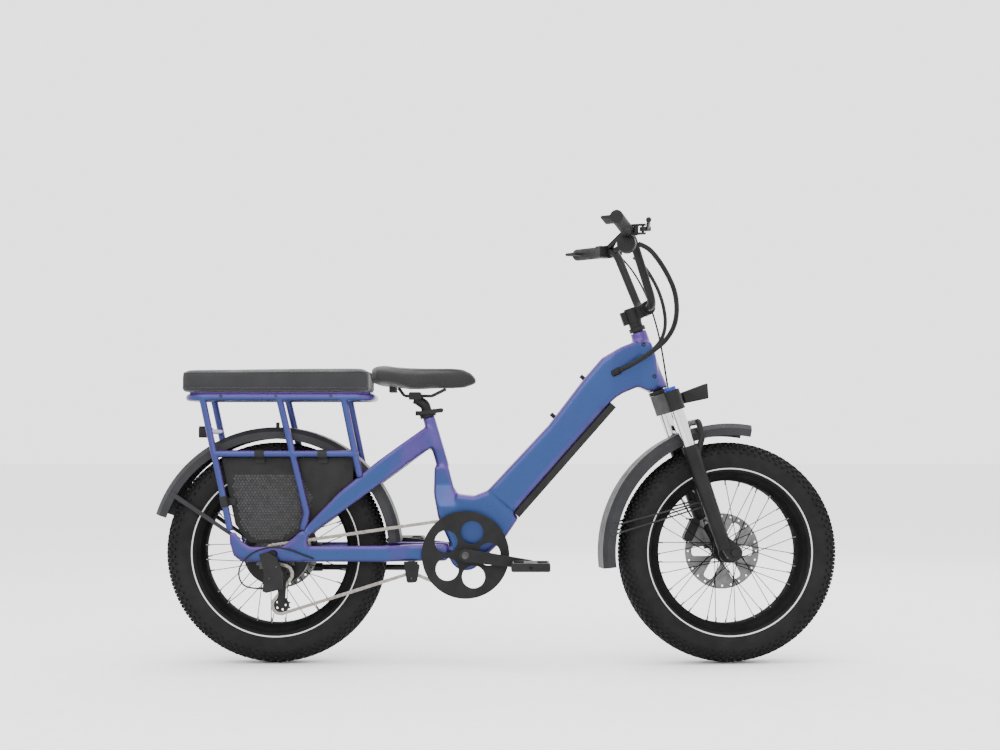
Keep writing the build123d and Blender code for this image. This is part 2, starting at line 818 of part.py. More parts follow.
# ---------------------------------------------------------------- seat
with BuildPart() as seat_clamp:
    add(rod(tube_top - post_up * 4, tube_top + post_up * 13, seat_tube_radius + 5, seat_tube_radius + 0.05))
    ear = tube_top + post_up * 5
    add(block((ear.X - 32, -9, ear.Z - 5), (ear.X - 17, 9, ear.Z + 7)))
    add(rod(tube_top - post_up * 60, tube_top + post_up * 40, seat_tube_radius + 0.05), mode=Mode.SUBTRACT)
    add(rod(tube_top + post_up * 0.2, tube_top + post_up * 13, seat_tube_radius + 3, seat_post_radius + 0.1))
    skewer = (ear.X - 25, ear.Z + 1)
    add(disc(*skewer, skewer_face_y, 14, 3))
    add(disc(*skewer, 9, 15, 6))
    add(block((skewer[0] - 5, skewer_face_y, skewer[1] - 5), (skewer[0] + 5, -9, skewer[1] + 5)))

with BuildPart() as seat_clamp_lever:
    pivot_y = -25.0
    add(rod((skewer[0], pivot_y, skewer[1] - 6), (skewer[0], pivot_y, skewer[1] + 6), lever_barrel_radius))
    lever_shape = [(skewer[0], skewer[1], 5), (skewer[0] + 62, skewer[1] + 8, 6)]
    add(hull_plate(lever_shape, pivot_y - 3.5, pivot_y + 0.5))
save(seat_clamp_lever, "seat_clamp_lever")

with BuildPart() as seat_post:
    head_at = (366, 0, 701)
    low = tube_top - post_up * 125
    neck = tube_top + post_up * 30
    add(bent_tube([tuple(low), tuple(neck), head_at], 14, seat_post_radius))
    add(block((350, -29, 697), (382, 29, 717)))
    fillet(seat_post.edges().filter_by(Axis.Y).sort_by(Axis.Z)[-2:], 4)
    rail_y, rail_radius = 22.0, 3.5
    for y in (-rail_y, rail_y):
        add(rod((300, y, 707), (420, y, 707), rail_radius + 0.05), mode=Mode.SUBTRACT)
    add(rod((366, 0, 686), (366, 0, 692), 6))
save(seat_post, "seat_post")

with BuildPart() as saddle:
    side = [
        (249, 786),
        (262, 789),
        (330, 780),
        (394, 778),
        (471, 778),
        (504, 775),
        (528, 750),
        (530, 742),
        (500, 732),
        (447, 729),
        (405, 730),
        (354, 724),
        (317, 732),
        (276, 736),
    ]
    add(plate(side, -110, 110))
    with BuildSketch(Plane.XY.offset(700)):
        with BuildLine():
            Spline((247, 0), (258, 70), (290, 94), (340, 84), (400, 46), (460, 27), (515, 20), (532, 0))
            mirror(about=Plane.XZ)
        make_face()
    extrude(amount=120, mode=Mode.INTERSECT)
save(saddle, "saddle")

with BuildPart() as saddle_rails:
    for y in (-rail_y, rail_y):
        rear, front = (322, y, 727.5), (447, y, 725.3)
        add(bent_tube([rear, (337, y, 707), (410, y, 707), front], 10, rail_radius))
    for low_y in (-30, 16):
        add(block((298, low_y, 716), (316, low_y + 14, 731.5)))
save(saddle_rails, "saddle_rails")

# ---------------------------------------------------------------- drivetrain
def loop_outline(wheels, outward):
    """Tangent runs and arcs of a chain about wheels (x, z, radius, way), moved outward.

    way is 1 where the chain goes round anticlockwise as seen from the drive side, else -1.
    """
    runs = []
    for here, ahead in zip(wheels, wheels[1:] + wheels[:1]):
        near, far = (wheel[3] * wheel[2] + outward for wheel in (here, ahead))
        apart = hypot(ahead[0] - here[0], ahead[1] - here[1])
        bearing = atan2(ahead[1] - here[1], ahead[0] - here[0])
        heading = bearing + asin_safe((near - far) / apart)
        right = (sin(heading), -cos(heading))
        start = (here[0] + near * right[0], here[1] + near * right[1])
        finish = (ahead[0] + far * right[0], ahead[1] + far * right[1])
        runs.append((start, finish))
    edges = []
    for index, wheel in enumerate(wheels):
        arrive, leave = runs[index - 1][1], runs[index][0]
        first = atan2(arrive[1] - wheel[1], arrive[0] - wheel[0])
        last = atan2(leave[1] - wheel[1], leave[0] - wheel[0])
        turn = wheel[3] * ((wheel[3] * (last - first)) % (2 * pi))
        radius = hypot(arrive[0] - wheel[0], arrive[1] - wheel[1])
        middle = (wheel[0] + radius * cos(first + turn / 2), wheel[1] + radius * sin(first + turn / 2))
        edges.append(("arc", arrive, middle, leave))
        edges.append(("line", *runs[index]))
    return edges


def asin_safe(value):
    """The angle of a sine."""
    return pi / 2 - acos(value)


def draw_loop(edges):
    """Draw a loop's runs and arcs inside the active line."""
    for kind, *points in edges:
        if kind == "arc":
            ThreePointArc(*points)
        else:
            Line(*points)


chain_wheels = [
    (*bb_at, ring_pitch_radius, 1),
    (*rear_axle_at, sprocket_pitch_radius, 1),
    (*guide_pulley_at, pulley_pitch_radius, -1),
    (*tension_pulley_at, pulley_pitch_radius, 1),
    (*roller_at, roller_radius + 1.5, -1),
]
with BuildPart() as chain:
    with BuildSketch(across(0, 0, -chain_y + chain_width / 2)):
        with BuildLine():
            draw_loop(loop_outline(chain_wheels, chain_half_depth))
        make_face()
        with BuildLine():
            draw_loop(loop_outline(chain_wheels, -chain_half_depth))
        make_face(mode=Mode.SUBTRACT)
    extrude(amount=chain_width)
save(chain, "chain")

ring_y = -chain_y
guard_y = ring_y - 6.0
with BuildPart() as chainring:
    ring_radius = ring_pitch_radius - chain_seat
    add(disc(*bb_at, ring_y - 1.5, ring_y + 1.5, ring_radius))
    add(disc(*bb_at, guard_y - 1.5, guard_y + 1.5, guard_outer_radius))
    with BuildSketch(across(*bb_at, ring_y + 2)):
        with PolarLocations(61, 5, start_angle=2):
            Circle(30)
    extrude(amount=12, mode=Mode.SUBTRACT)
    with BuildSketch(across(*bb_at, ring_y)):
        with PolarLocations(89, 5, start_angle=38):
            Circle(3.5)
    extrude(amount=6)
    add(disc(*bb_at, -crank_inner_y, ring_y, 24))
    add(disc(*bb_at, -crank_inner_y - 1, ring_y + 2, spindle_radius + pin_gap), mode=Mode.SUBTRACT)
save(chainring, "chainring")

crank_dir = (cos(radians(crank_angle)), sin(radians(crank_angle)))
pedal_spots = {
    side: (bb_x - side * crank_length * crank_dir[0], bb_z - side * crank_length * crank_dir[1])
    for side in (-1, 1)
}
pedal_inner_y = crank_inner_y + crank_thickness + 6
pedal_width = 92.0
with BuildPart() as crank_arms:
    add(disc(*bb_at, -crank_inner_y - crank_thickness, crank_inner_y + crank_thickness, spindle_radius))
    for side in (-1, 1):
        x, z = pedal_spots[side]
        low = min(side * crank_inner_y, side * (crank_inner_y + crank_thickness))
        add(hull_plate([(*bb_at, 17), (x, z, 12)], low, low + crank_thickness))
        near = min(side * crank_inner_y, side * (pedal_inner_y + pedal_width - 4))
        add(disc(x, z, near, near + pedal_inner_y + pedal_width - 4 - crank_inner_y, pedal_pin_radius))
save(crank_arms, "crank_arms")

for side, name in ((-1, "pedal_right"), (1, "pedal_left")):
    x, z = pedal_spots[side]
    low_y = min(side * pedal_inner_y, side * (pedal_inner_y + pedal_width))
    with BuildPart() as pedal:
        add(block((x - 50, low_y, z - 11), (x + 50, low_y + pedal_width, z + 11)))
        fillet(pedal.edges().filter_by(Axis.Y), 5)
        for shift in (-30, 30):
            window = (x + shift - 13, low_y + 14, z - 12), (x + shift + 13, low_y + pedal_width - 14, z + 12)
            add(block(*window), mode=Mode.SUBTRACT)
        add(disc(x, z, low_y, low_y + pedal_width, pedal_pin_radius + pin_gap), mode=Mode.SUBTRACT)
    save(pedal, name)

cage_y = chain_y + chain_width / 2 + 2
pulley_pin_radius = 2.5
for name, at in (("guide_pulley", guide_pulley_at), ("tension_pulley", tension_pulley_at)):
    with BuildPart() as pulley:
        add(disc(*at, -chain_y - 2.2, -chain_y + 2.2, pulley_pitch_radius - chain_seat))
        with BuildSketch(across(*at, -chain_y + 3)):
            with PolarLocations(12, 5):
                Circle(3)
        extrude(amount=6, mode=Mode.SUBTRACT)
        add(disc(*at, -chain_y - 4, -chain_y + 4, 6))
        add(disc(*at, -chain_y - 5, -chain_y + 5, pulley_pin_radius + pin_gap), mode=Mode.SUBTRACT)
    save(pulley, name)

body_y = -plate_outer - 12
body_middle_y = -body_y + 4
barrel_x = -34.0
with BuildPart() as derailleur:
    for low in (-cage_y - 2, -2 * chain_y + cage_y):
        add(hull_plate([(*guide_pulley_at, 9), (*tension_pulley_at, 9)], low, low + 2))
    for at in (guide_pulley_at, tension_pulley_at):
        add(disc(*at, -cage_y - 2, -2 * chain_y + cage_y + 2, pulley_pin_radius))
    add(hull_plate([(4, 276, 7), (10, 254, 8)], -plate_outer - 4, -plate_outer))
    add(disc(10, 254, body_y, -plate_outer - 4, 8))
    mech_outline = [(-33, 294), (-10, 300), (12, 286), (30, 243), (26, 204), (-14, 194), (-24, 198), (-20, 246)]
    add(plate(mech_outline, body_y - 8, body_y, 2))
    add(rod((barrel_x, -body_middle_y, 206), (-20, -body_middle_y, 206), 3.2))
    add(disc(22, 234, body_y, -cage_y, 8))
save(derailleur, "derailleur")

with BuildPart() as chain_roller:
    add(disc(*roller_at, -chain_y - 4, -chain_y + 4, roller_radius))
    add(disc(*roller_at, -chain_y - 5, -chain_y + 5, pulley_pin_radius + pin_gap), mode=Mode.SUBTRACT)
save(chain_roller, "chain_roller")

with BuildPart() as chain_guide:
    guide = [(roller_at[0] - 20, 266), (roller_at[0] + 22, 266), (roller_at[0] + 14, 219), (roller_at[0] - 12, 217)]
    for low in (-cage_y - 2, -2 * chain_y + cage_y):
        add(plate(guide, low, low + 2, 6))
    add(block((roller_at[0] - 20, -cage_y - 2, 262), (roller_at[0] + 16, -2 * chain_y + cage_y + 2, stay_low_z)))
    add(disc(*roller_at, -cage_y - 2, -2 * chain_y + cage_y + 2, pulley_pin_radius))
save(chain_guide, "chain_guide")

with BuildPart() as rear_caliper:
    low_z, high_z = 266, 310
    for y_low, y_high in ((47, rear_rotor_y - 1.2), (rear_rotor_y + rotor_thickness + 1.2, stay_inner - 0.1)):
        add(block((60, y_low, low_z), (104, y_high, high_z)))
    add(block((103, 47, low_z), (112, stay_inner - 0.1, high_z)))
save(rear_caliper, "rear_caliper")

# ---------------------------------------------------------------- kickstand
stand_pivot = Vector(352, 68, 246)
stand_down = Vector(0.25, 0.5, -0.83).normalized()
stand_back = Vector(-1, 0.045, 0).normalized()
stand_axis = stand_back.cross(stand_down).normalized()
stand_length = 268.0
stand_radius = 8.0
with BuildPart() as kickstand_leg:
    foot = stand_pivot + stand_back * stand_length
    add(rod(tuple(stand_pivot), tuple(foot), stand_radius))
    add(rod(tuple(foot - stand_back * 26), tuple(foot + stand_back * 16), stand_radius + 3.5))
    add(rod(tuple(stand_pivot - stand_axis * 8), tuple(stand_pivot + stand_axis * 8), 11))
    pin_low, pin_high = (tuple(stand_pivot + stand_axis * reach) for reach in (-12, 12))
    add(rod(pin_low, pin_high, 4 + pin_gap), mode=Mode.SUBTRACT)
save(kickstand_leg, "kickstand_leg")

with BuildPart() as kickstand_bracket:
    for reach in (-11.6, 8.3):
        low, high = (tuple(stand_pivot + stand_axis * (reach + step)) for step in (0, 3.3))
        add(rod(low, high, 11))
    add(rod(tuple(stand_pivot - stand_axis * 11.6), tuple(stand_pivot + stand_axis * 11.6), 4))
    add(block((stand_pivot.X - 10, 48, 260), (stand_pivot.X + 10, 80, stay_low_z)))

# ---------------------------------------------------------------- fork
with BuildPart() as fork_crown:
    with BuildSketch(steering.offset(crown_low)):
        with Locations((crown_offset, -stanchion_y), (crown_offset, stanchion_y)):
            Circle(leg_radius + 1)
        Circle(26)
        make_hull()
    extrude(amount=crown_high - crown_low)
    with BuildSketch(steering.offset(crown_low)):
        with Locations((crown_offset, -stanchion_y), (crown_offset, stanchion_y)):
            Circle(stanchion_radius + pin_gap)
    extrude(amount=crown_high - crown_low - 4, mode=Mode.SUBTRACT)
    with BuildSketch(steering.offset(crown_high)):
        Circle(steerer_radius)
        Circle(steerer_radius - 2.2, mode=Mode.SUBTRACT)
    extrude(amount=head_high + 60 - crown_high)
save(fork_crown, "fork_crown", True)

with BuildPart() as stanchions:
    with BuildSketch(steering.offset(leg_top - 76)):
        with Locations((crown_offset, -stanchion_y), (crown_offset, stanchion_y)):
            Circle(stanchion_radius)
    extrude(amount=crown_high - 4.2 - (leg_top - 76))
save(stanchions, "stanchions", True)

with BuildPart() as lockout_knob:
    with BuildSketch(steering.offset(crown_high + run_gap)):
        with Locations((crown_offset, -stanchion_y)):
            Circle(15)
    extrude(amount=9)
    fillet(lockout_knob.edges().filter_by(GeomType.CIRCLE).sort_by(Axis.Z)[-1:], 2)
save(lockout_knob, "lockout_knob", True)

with BuildPart() as fork_lowers:
    for side in (-1, 1):
        with BuildSketch(steering.offset(6)):
            with Locations((crown_offset, side * stanchion_y)):
                Circle(leg_radius - 3)
        with BuildSketch(steering.offset(leg_top)):
            with Locations((crown_offset, side * stanchion_y)):
                Circle(leg_radius)
        loft(ruled=True)
        knee = steer_point(crown_offset, 0, 34)
        low = side * 78.5 - 11
        add(hull_plate([(*front_axle_at, 21), (knee.X, knee.Z, 15)], low, low + 22))
    arch = [
        (18, -stanchion_y, 250),
        (54, -stanchion_y, 302),
        (61, -67, 342),
        (61, 67, 342),
        (54, stanchion_y, 302),
        (18, stanchion_y, 250),
    ]
    add(bent_tube([tuple(steer_point(*spot)) for spot in arch], 15, 8))
    with BuildSketch(steering.offset(leg_top - 76 - fork_travel - 6)):
        with Locations((crown_offset, -stanchion_y), (crown_offset, stanchion_y)):
            Circle(stanchion_radius + pin_gap)
    extrude(amount=200, mode=Mode.SUBTRACT)
    add(disc(*front_axle_at, -120, 120, axle_radius + pin_gap), mode=Mode.SUBTRACT)
save(fork_lowers, "fork_lowers", True)

with BuildPart() as front_axle:
    add(disc(*front_axle_at, -96, 96, axle_radius))
    for low in (-96, 89.6):
        add(disc(*front_axle_at, low, low + 6.4, 10))
save(front_axle, "front_axle", True)

with BuildPart() as front_caliper:
    spot = steer_point(-14, 0, 58)
    low_y, high_y = front_rotor_y - 1.5, front_rotor_y + rotor_thickness + 1.5
    add(hull_plate([(spot.X - 26, spot.Z - 12, 13), (spot.X - 8, spot.Z + 26, 13)], low_y - 12, low_y))
    add(hull_plate([(spot.X - 26, spot.Z - 12, 13), (spot.X - 8, spot.Z + 26, 13)], high_y, high_y + 9))
    add(block((spot.X - 30, low_y - 1, spot.Z + 34), (spot.X - 8, high_y + 1, spot.Z + 38)))
    with BuildSketch(steering.offset(58)):
        with Locations((-2, 62)):
            Rectangle(20, 15)
    extrude(amount=30)
    add(fork_lowers.part, mode=Mode.SUBTRACT)
save(front_caliper, "front_caliper", True)

with BuildPart() as headlight:
    lamp = [(53, 398), (54, 428), (129, 430), (118, 390)]
    outline = [(steer_point(f, 0, t).X, steer_point(f, 0, t).Z) for f, t in lamp]
    add(plate(outline, -24, 24, 3))
    fillet(headlight.faces().filter_by(Axis.Y).edges(), 4)
    with BuildSketch(steering.offset(405)):
        with Locations((38, 0)):
            Rectangle(34, 14)
    extrude(amount=12)
    add(fork_crown.part, mode=Mode.SUBTRACT)
save(headlight, "headlight", True)

# ---------------------------------------------------------------- cockpit
stem_low, stem_high = 644.0, 680.0
bar_forward, bar_up = 42.7, 669.3
bar_centre = steer_point(bar_forward, 0, bar_up)
stem_centre = steer_point(0, 0, 661)
bar_knee = Vector(920, 0, 1112)
bar_end = Vector(846, 0, 1129)
bar_foot_y, bar_knee_y, bar_end_y = 88.0, 125.0, 320.0
bar_path = [
    (bar_end.X, -bar_end_y, bar_end.Z),
    (bar_knee.X, -bar_knee_y, bar_knee.Z),
    (bar_centre.X, -bar_foot_y, bar_centre.Z),
    (bar_centre.X, bar_foot_y, bar_centre.Z),
    (bar_knee.X, bar_knee_y, bar_knee.Z),
    (bar_end.X, bar_end_y, bar_end.Z),
]
with BuildPart() as handlebar:
    add(bent_tube(bar_path, 42, bar_radius))
    add(rod((bar_centre.X, -34, bar_centre.Z), (bar_centre.X, 34, bar_centre.Z), clamp_radius))
save(handlebar, "handlebar", True)

with BuildPart() as stem:
    with BuildSketch(steering.offset(stem_low)):
        Circle(19)
        with Locations((-23, 0)):
            Rectangle(16, 12)
    extrude(amount=stem_high - stem_low)
    add(hull_plate([(stem_centre.X, stem_centre.Z, 15), (bar_centre.X, bar_centre.Z, 17)], -15, 15))
    add(disc(bar_centre.X, bar_centre.Z, -23, 23, 19))
    with BuildSketch(steering.offset(head_high + 11.5)):
        Circle(17.5)
    extrude(amount=stem_low - head_high - 11.5)
    with BuildSketch(steering.offset(head_high)):
        Circle(steerer_radius + pin_gap)
    extrude(amount=stem_high - head_high, mode=Mode.SUBTRACT)
    add(disc(bar_centre.X, bar_centre.Z, -24, 24, clamp_radius + pin_gap), mode=Mode.SUBTRACT)
    with BuildSketch(steering.offset(stem_high)):
        Circle(18)
    extrude(amount=4)
save(stem, "stem", True)


def bar_frame(side):
    """A plane at a bar's open end, with z along the grip towards the middle and x forward."""
    end = Vector(bar_end.X, side * bar_end_y, bar_end.Z)
    inward = Vector(bar_knee.X, side * bar_knee_y, bar_knee.Z) - end
    forward = Vector(1, 0, 0) - inward.normalized() * inward.normalized().X
    return Plane(origin=end, x_dir=forward, z_dir=inward)


def along_bar(side, start, length, radius, bore=0.0):
    """A ring or a slab on the bar, from a distance in from its open end."""
    with BuildPart() as piece:
        with BuildSketch(bar_frame(side).offset(start)):
            Circle(radius)
            if bore:
                Circle(bore, mode=Mode.SUBTRACT)
        extrude(amount=length)
    return piece.part


with BuildPart() as grips:
    for side in (-1, 1):
        add(along_bar(side, -6, grip_length + 6, grip_radius, bar_radius + pin_gap))
        with BuildSketch(bar_frame(side).offset(-6)):
            with Locations((-18, 0)):
                SlotOverall(44, 9)
            Circle(bar_radius + pin_gap, mode=Mode.SUBTRACT)
        extrude(amount=58)
        add(along_bar(side, -6, 5.8, grip_radius))
save(grips, "grips", True)

perch_at = grip_length + 4
perch_width = 16.0
lever_forward = 40.0
lever_pin = 3.0
ear_gap = 9.0
with BuildPart() as brake_perches:
    for side in (-1, 1):
        add(along_bar(side, perch_at, perch_width, bar_radius + 6, bar_radius + pin_gap))
        frame = bar_frame(side)
        spot = frame.from_local_coords((lever_forward, 0, perch_at + perch_width / 2))
        near = frame.from_local_coords((bar_radius + 5, 0, perch_at + perch_width / 2))
        for low in (-ear_gap - 4, ear_gap):
            with BuildSketch(Plane.XY.offset(spot.Z + low)):
                with Locations((spot.X, spot.Y)):
                    Circle(8)
                with Locations((near.X, near.Y)):
                    Circle(8)
                make_hull()
            extrude(amount=4)
        with BuildSketch(Plane.XY.offset(near.Z - ear_gap - 4)):
            with Locations((near.X + 6, near.Y)):
                Rectangle(10, 16)
        extrude(amount=2 * ear_gap + 8)
        add(rod((spot.X, spot.Y, spot.Z - ear_gap - 4), (spot.X, spot.Y, spot.Z + ear_gap + 4), lever_pin))
        tail = along_bar(side, perch_at - 10, perch_width + 20, bar_radius + pin_gap)
        add(tail, mode=Mode.SUBTRACT)
save(brake_perches, "brake_perches", True)

for side, name in ((-1, "brake_lever_right"), (1, "brake_lever_left")):
    frame = bar_frame(side)
    spot = frame.from_local_coords((lever_forward, 0, perch_at + perch_width / 2))
    tip = frame.from_local_coords((70, 0, 54))
    with BuildPart() as brake_lever:
        with BuildSketch(Plane.XY.offset(spot.Z - 5)):
            with Locations((spot.X, spot.Y)):
                Circle(8)
            with Locations((spot.X + 14, spot.Y + side * 6)):
                Circle(6)
            make_hull()
        extrude(amount=10)
        add(rod((spot.X + 12, spot.Y + side * 6, spot.Z), tuple(tip), 5))
        with Locations(tip):
            Sphere(7)
        with BuildSketch(Plane.XY.offset(spot.Z - 6)):
            with Locations((spot.X, spot.Y)):
                Circle(lever_pin + pin_gap)
        extrude(amount=12, mode=Mode.SUBTRACT)
    save(brake_lever, name, True)

shifter_side = -1
shifter_at = perch_at + perch_width + 3
pod_width = 18.0
with BuildPart() as shifter_pod:
    add(along_bar(shifter_side, shifter_at, 14, bar_radius + 5, bar_radius + pin_gap))
    pod_plane = bar_frame(shifter_side).offset(shifter_at)
    with BuildSketch(pod_plane):
        with Locations((-6, 30)):
            Circle(24)
    extrude(amount=pod_width)
    add(along_bar(shifter_side, shifter_at - 5, 60, bar_radius + pin_gap), mode=Mode.SUBTRACT)
save(shifter_pod, "shifter_pod", True)

with BuildPart() as shift_lever:
    with BuildSketch(pod_plane.offset(pod_width + run_gap)):
        with Locations((-6, 30)):
            Circle(9)
        with Locations((-36, 40)):
            Circle(6)
        make_hull()
    extrude(amount=4)
save(shift_lever, "shift_lever", True)

display_tilt = Vector(-0.707, 0, 0.707)
with BuildPart() as cockpit_controls:
    add(along_bar(1, shifter_at, 26, bar_radius + 7, bar_radius + pin_gap))
    keypad_frame = bar_frame(1).offset(shifter_at)
    with BuildSketch(keypad_frame):
        with Locations((-20, 0)):
            Rectangle(22, 30)
    extrude(amount=26)
    display_at = Vector(926, 132, 1150)
    with BuildSketch(Plane(origin=display_at, x_dir=(0, 1, 0), z_dir=display_tilt)) as screen:
        RectangleRounded(58, 74, 8)
    extrude(amount=5, both=True)
    add(rod(tuple(bar_frame(1).from_local_coords((0, 0, shifter_at + 24))), tuple(display_at), 5))
    add(handlebar.part, mode=Mode.SUBTRACT)
    add(along_bar(1, shifter_at - 5, 60, bar_radius + pin_gap), mode=Mode.SUBTRACT)
save(cockpit_controls, "cockpit_controls", True)

# ---------------------------------------------------------------- fittings on the frame
grommet_spot = Vector(893, 0, 767)
grommet_radius = 9.0
grommet_reach = 16.0


def grommet_point(side, reach):
    """A point on the line along which a cable leaves the down tube's side."""
    along = Vector(0.82, side * 0.42, 0.38).normalized()
    return grommet_spot + Vector(0, side * (tube_half_width - 1), 0) + along * reach


with BuildPart() as frame_fittings:
    for low, high, radius in ((head_low - 10, head_low - 0.05, 27), (head_high + 0.05, head_high + 11, 22)):
        with BuildSketch(steering.offset(low)):
            Circle(radius)
            Circle(steerer_radius + pin_gap, mode=Mode.SUBTRACT)
        extrude(amount=high - low)
    for x, z in ((805, 761), (726, 660)):
        peg_tip = Vector(x, 0, z)
        add(rod(tuple(peg_tip + bay_out * 16), tuple(peg_tip), 5.5))
    for side in (-1, 1):
        inside, outside = (tuple(grommet_point(side, reach)) for reach in (-5, grommet_reach))
        add(rod(inside, outside, grommet_radius))
    add(down_tube.part, mode=Mode.SUBTRACT)
    add(seat_clamp.part)
    add(kickstand_bracket.part)
save(frame_fittings, "frame_fittings")


# ---------------------------------------------------------------- cables
def cable(points, radius):
    """A cable along a hand-set route: each arc as large as its two runs allow."""
    spots = [Vector(*point) for point in points]
    bends = []
    for before, here, after in zip(spots, spots[1:], spots[2:]):
        turn = radians((here - before).get_angle(after - here))
        bends.append(0.45 * min((here - before).length, (after - here).length) / tan(turn / 2))
    with BuildPart() as piece:
        with BuildLine() as route:
            FilletPolyline(*points, radius=bends)
        with BuildSketch(Plane(origin=route.line @ 0, z_dir=route.line % 0)):
            Circle(radius)
        sweep()
    print("cable length", round(route.wire().length))
    return piece.part


harness_right_route = [
    (944, -176, 1090),
    (966, -172, 1084),
    (992, -162, 1058),
    (1019, -148, 1020),
    (1042, -130, 976),
    (1050, -112, 930),
    (1046, -94, 888),
    (1026, -78, 852),
    (996, -70, 826),
    (960, -66, 802),
    tuple(grommet_point(-1, grommet_reach + 24)),
    tuple(grommet_point(-1, grommet_reach + 0.05)),
]
with BuildPart() as harness_right:
    add(cable(harness_right_route, 6.5))
save(harness_right, "harness_right")

harness_left_route = [
    (962, 178, 1096),
    (986, 168, 1076),
    (1008, 152, 1040),
    (1028, 132, 996),
    (1040, 112, 946),
    (1042, 94, 898),
    (1028, 80, 858),
    (998, 70, 828),
    (962, 66, 804),
    tuple(grommet_point(1, grommet_reach + 24)),
    tuple(grommet_point(1, grommet_reach + 0.05)),
]
with BuildPart() as harness_left:
    add(cable(harness_left_route, 5))
save(harness_left, "harness_left")

# distances forward of, beside and up the steering axis
hose_route = [
    (52, 176, 850),
    (70, 170, 812),
    (82, 158, 760),
    (86, 142, 700),
    (82, 126, 640),
    (74, 112, 580),
    (62, 102, 520),
    (50, 98, 460),
    (44, 100, 410),
    (34, 106, 360),
    (18, 111, 310),
    (2, 111, 260),
    (-12, 104, 215),
    (-19, 90, 172),
    (-18, 71, 134),
    (-13, 59, 100.5),
]
with BuildPart() as brake_hose:
    add(cable([tuple(steer_point(*spot)) for spot in hose_route], 2.5))
save(brake_hose, "brake_hose", True)

housing_route = [
    (106, -stay_outer - 2.6, 281),
    (80, -98, 291),
    (48, -105, 305),
    (8, -110, 314),
    (-34, -112, 307),
    (-68, -113, 286),
    (-88, -113, 252),
    (-80, -112, 218),
    (-56, -body_middle_y, 206),
    (barrel_x - 0.05, -body_middle_y, 206),
]
with BuildPart() as derailleur_housing:
    add(cable(housing_route, 2.2))
save(derailleur_housing, "derailleur_housing")
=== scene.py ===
# %% [markdown]
# # A long-tail electric cargo bicycle
# The bicycle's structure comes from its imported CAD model, which is the frame that every
# piece here rides on. This notebook gives each piece its finished shape and its finish,
# one step at a time: paint, rubber, cloth, cables, and the small repeated parts.
# Lengths are millimetres in the wheelbase frame (X forward from the rear axle, Y to the
# rider's left, Z up from the ground), turned into the row's metres by `at`.

import json
from math import acos, atan2, cos, hypot, pi, radians, sin

import bmesh
import bpy
from mathutils import Matrix, Vector
from mathutils.bvhtree import BVHTree

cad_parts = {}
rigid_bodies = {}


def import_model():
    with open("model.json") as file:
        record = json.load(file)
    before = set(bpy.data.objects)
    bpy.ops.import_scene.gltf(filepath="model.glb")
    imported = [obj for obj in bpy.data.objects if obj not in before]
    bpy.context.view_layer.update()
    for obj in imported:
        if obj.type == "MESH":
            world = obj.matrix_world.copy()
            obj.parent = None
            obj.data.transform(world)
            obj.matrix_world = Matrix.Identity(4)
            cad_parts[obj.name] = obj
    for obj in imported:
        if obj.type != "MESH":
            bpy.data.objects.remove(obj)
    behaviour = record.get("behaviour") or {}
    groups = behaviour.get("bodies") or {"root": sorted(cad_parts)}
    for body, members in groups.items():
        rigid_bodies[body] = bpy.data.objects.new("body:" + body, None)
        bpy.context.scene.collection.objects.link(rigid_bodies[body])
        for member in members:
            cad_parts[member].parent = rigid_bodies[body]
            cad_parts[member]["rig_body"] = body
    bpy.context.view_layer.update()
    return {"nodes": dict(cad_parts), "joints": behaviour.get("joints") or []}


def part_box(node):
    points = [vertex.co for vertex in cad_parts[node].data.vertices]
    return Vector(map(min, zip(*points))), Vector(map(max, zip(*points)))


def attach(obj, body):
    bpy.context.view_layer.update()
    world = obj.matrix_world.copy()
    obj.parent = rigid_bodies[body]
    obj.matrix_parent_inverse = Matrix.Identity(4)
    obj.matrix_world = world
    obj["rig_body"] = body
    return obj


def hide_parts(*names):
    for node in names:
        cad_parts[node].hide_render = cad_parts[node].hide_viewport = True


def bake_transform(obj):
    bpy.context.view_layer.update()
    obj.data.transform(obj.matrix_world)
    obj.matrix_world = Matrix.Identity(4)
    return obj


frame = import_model()
nodes = frame["nodes"]
joints = {joint["name"]: joint for joint in frame["joints"]}
scene = bpy.context.scene
mm = 0.001

# %% [markdown]
# ## Places
# The row's origin is under the middle of the bicycle, 591 mm ahead of the rear axle.
# The fork and bar stand turned 6 degrees to the left. Their pieces are easier to draw
# straight, so `steer` takes distances forward of, beside and up the steering axis, and
# gives the turned point. The turn is read from the front wheel's axle, so that it always
# agrees with the CAD.

# %% Places
axle_to_centre = 591.0
rear_axle = Vector(joints["rear_wheel_spin"]["pos_m"])
front_axle = Vector(joints["front_wheel_spin"]["pos_m"])
front_spin = Vector(joints["front_wheel_spin"]["axis"])
crank_axle = Vector(joints["crank_spin"]["pos_m"])
across = Vector((0, 1, 0))
steer_up = Vector(joints["steering_turn"]["axis"])
steer_forward = across.cross(steer_up)
steer_foot = Vector((567.4, 0, 293)) * mm
parked = Matrix.Rotation(across.angle(front_spin), 3, steer_up)


def at(x, y, z):
    """A point of the wheelbase frame, in row metres."""
    return Vector((x - axle_to_centre, y, z)) * mm


def steer(forward, side, up):
    """A point of the fork or bar from its distances along the steering axes."""
    straight = steer_forward * forward + across * side + steer_up * up
    return steer_foot + parked @ straight * mm


print("parked turn", round(across.angle(front_spin) * 180 / pi, 2))

# %% [markdown]
# ## Camera
# A bicycle is drawn from its drive side, level with the frame. The camera stands a little
# over four metres away and looks straight across, and a small upward shift of the lens
# centres the bicycle without tilting the view, so that uprights stay upright.

# %% Camera
view_distance = 4.2
view_height = 0.60
field_width = 2.66
field_middle = Vector((0.0, 0.0, 0.763))

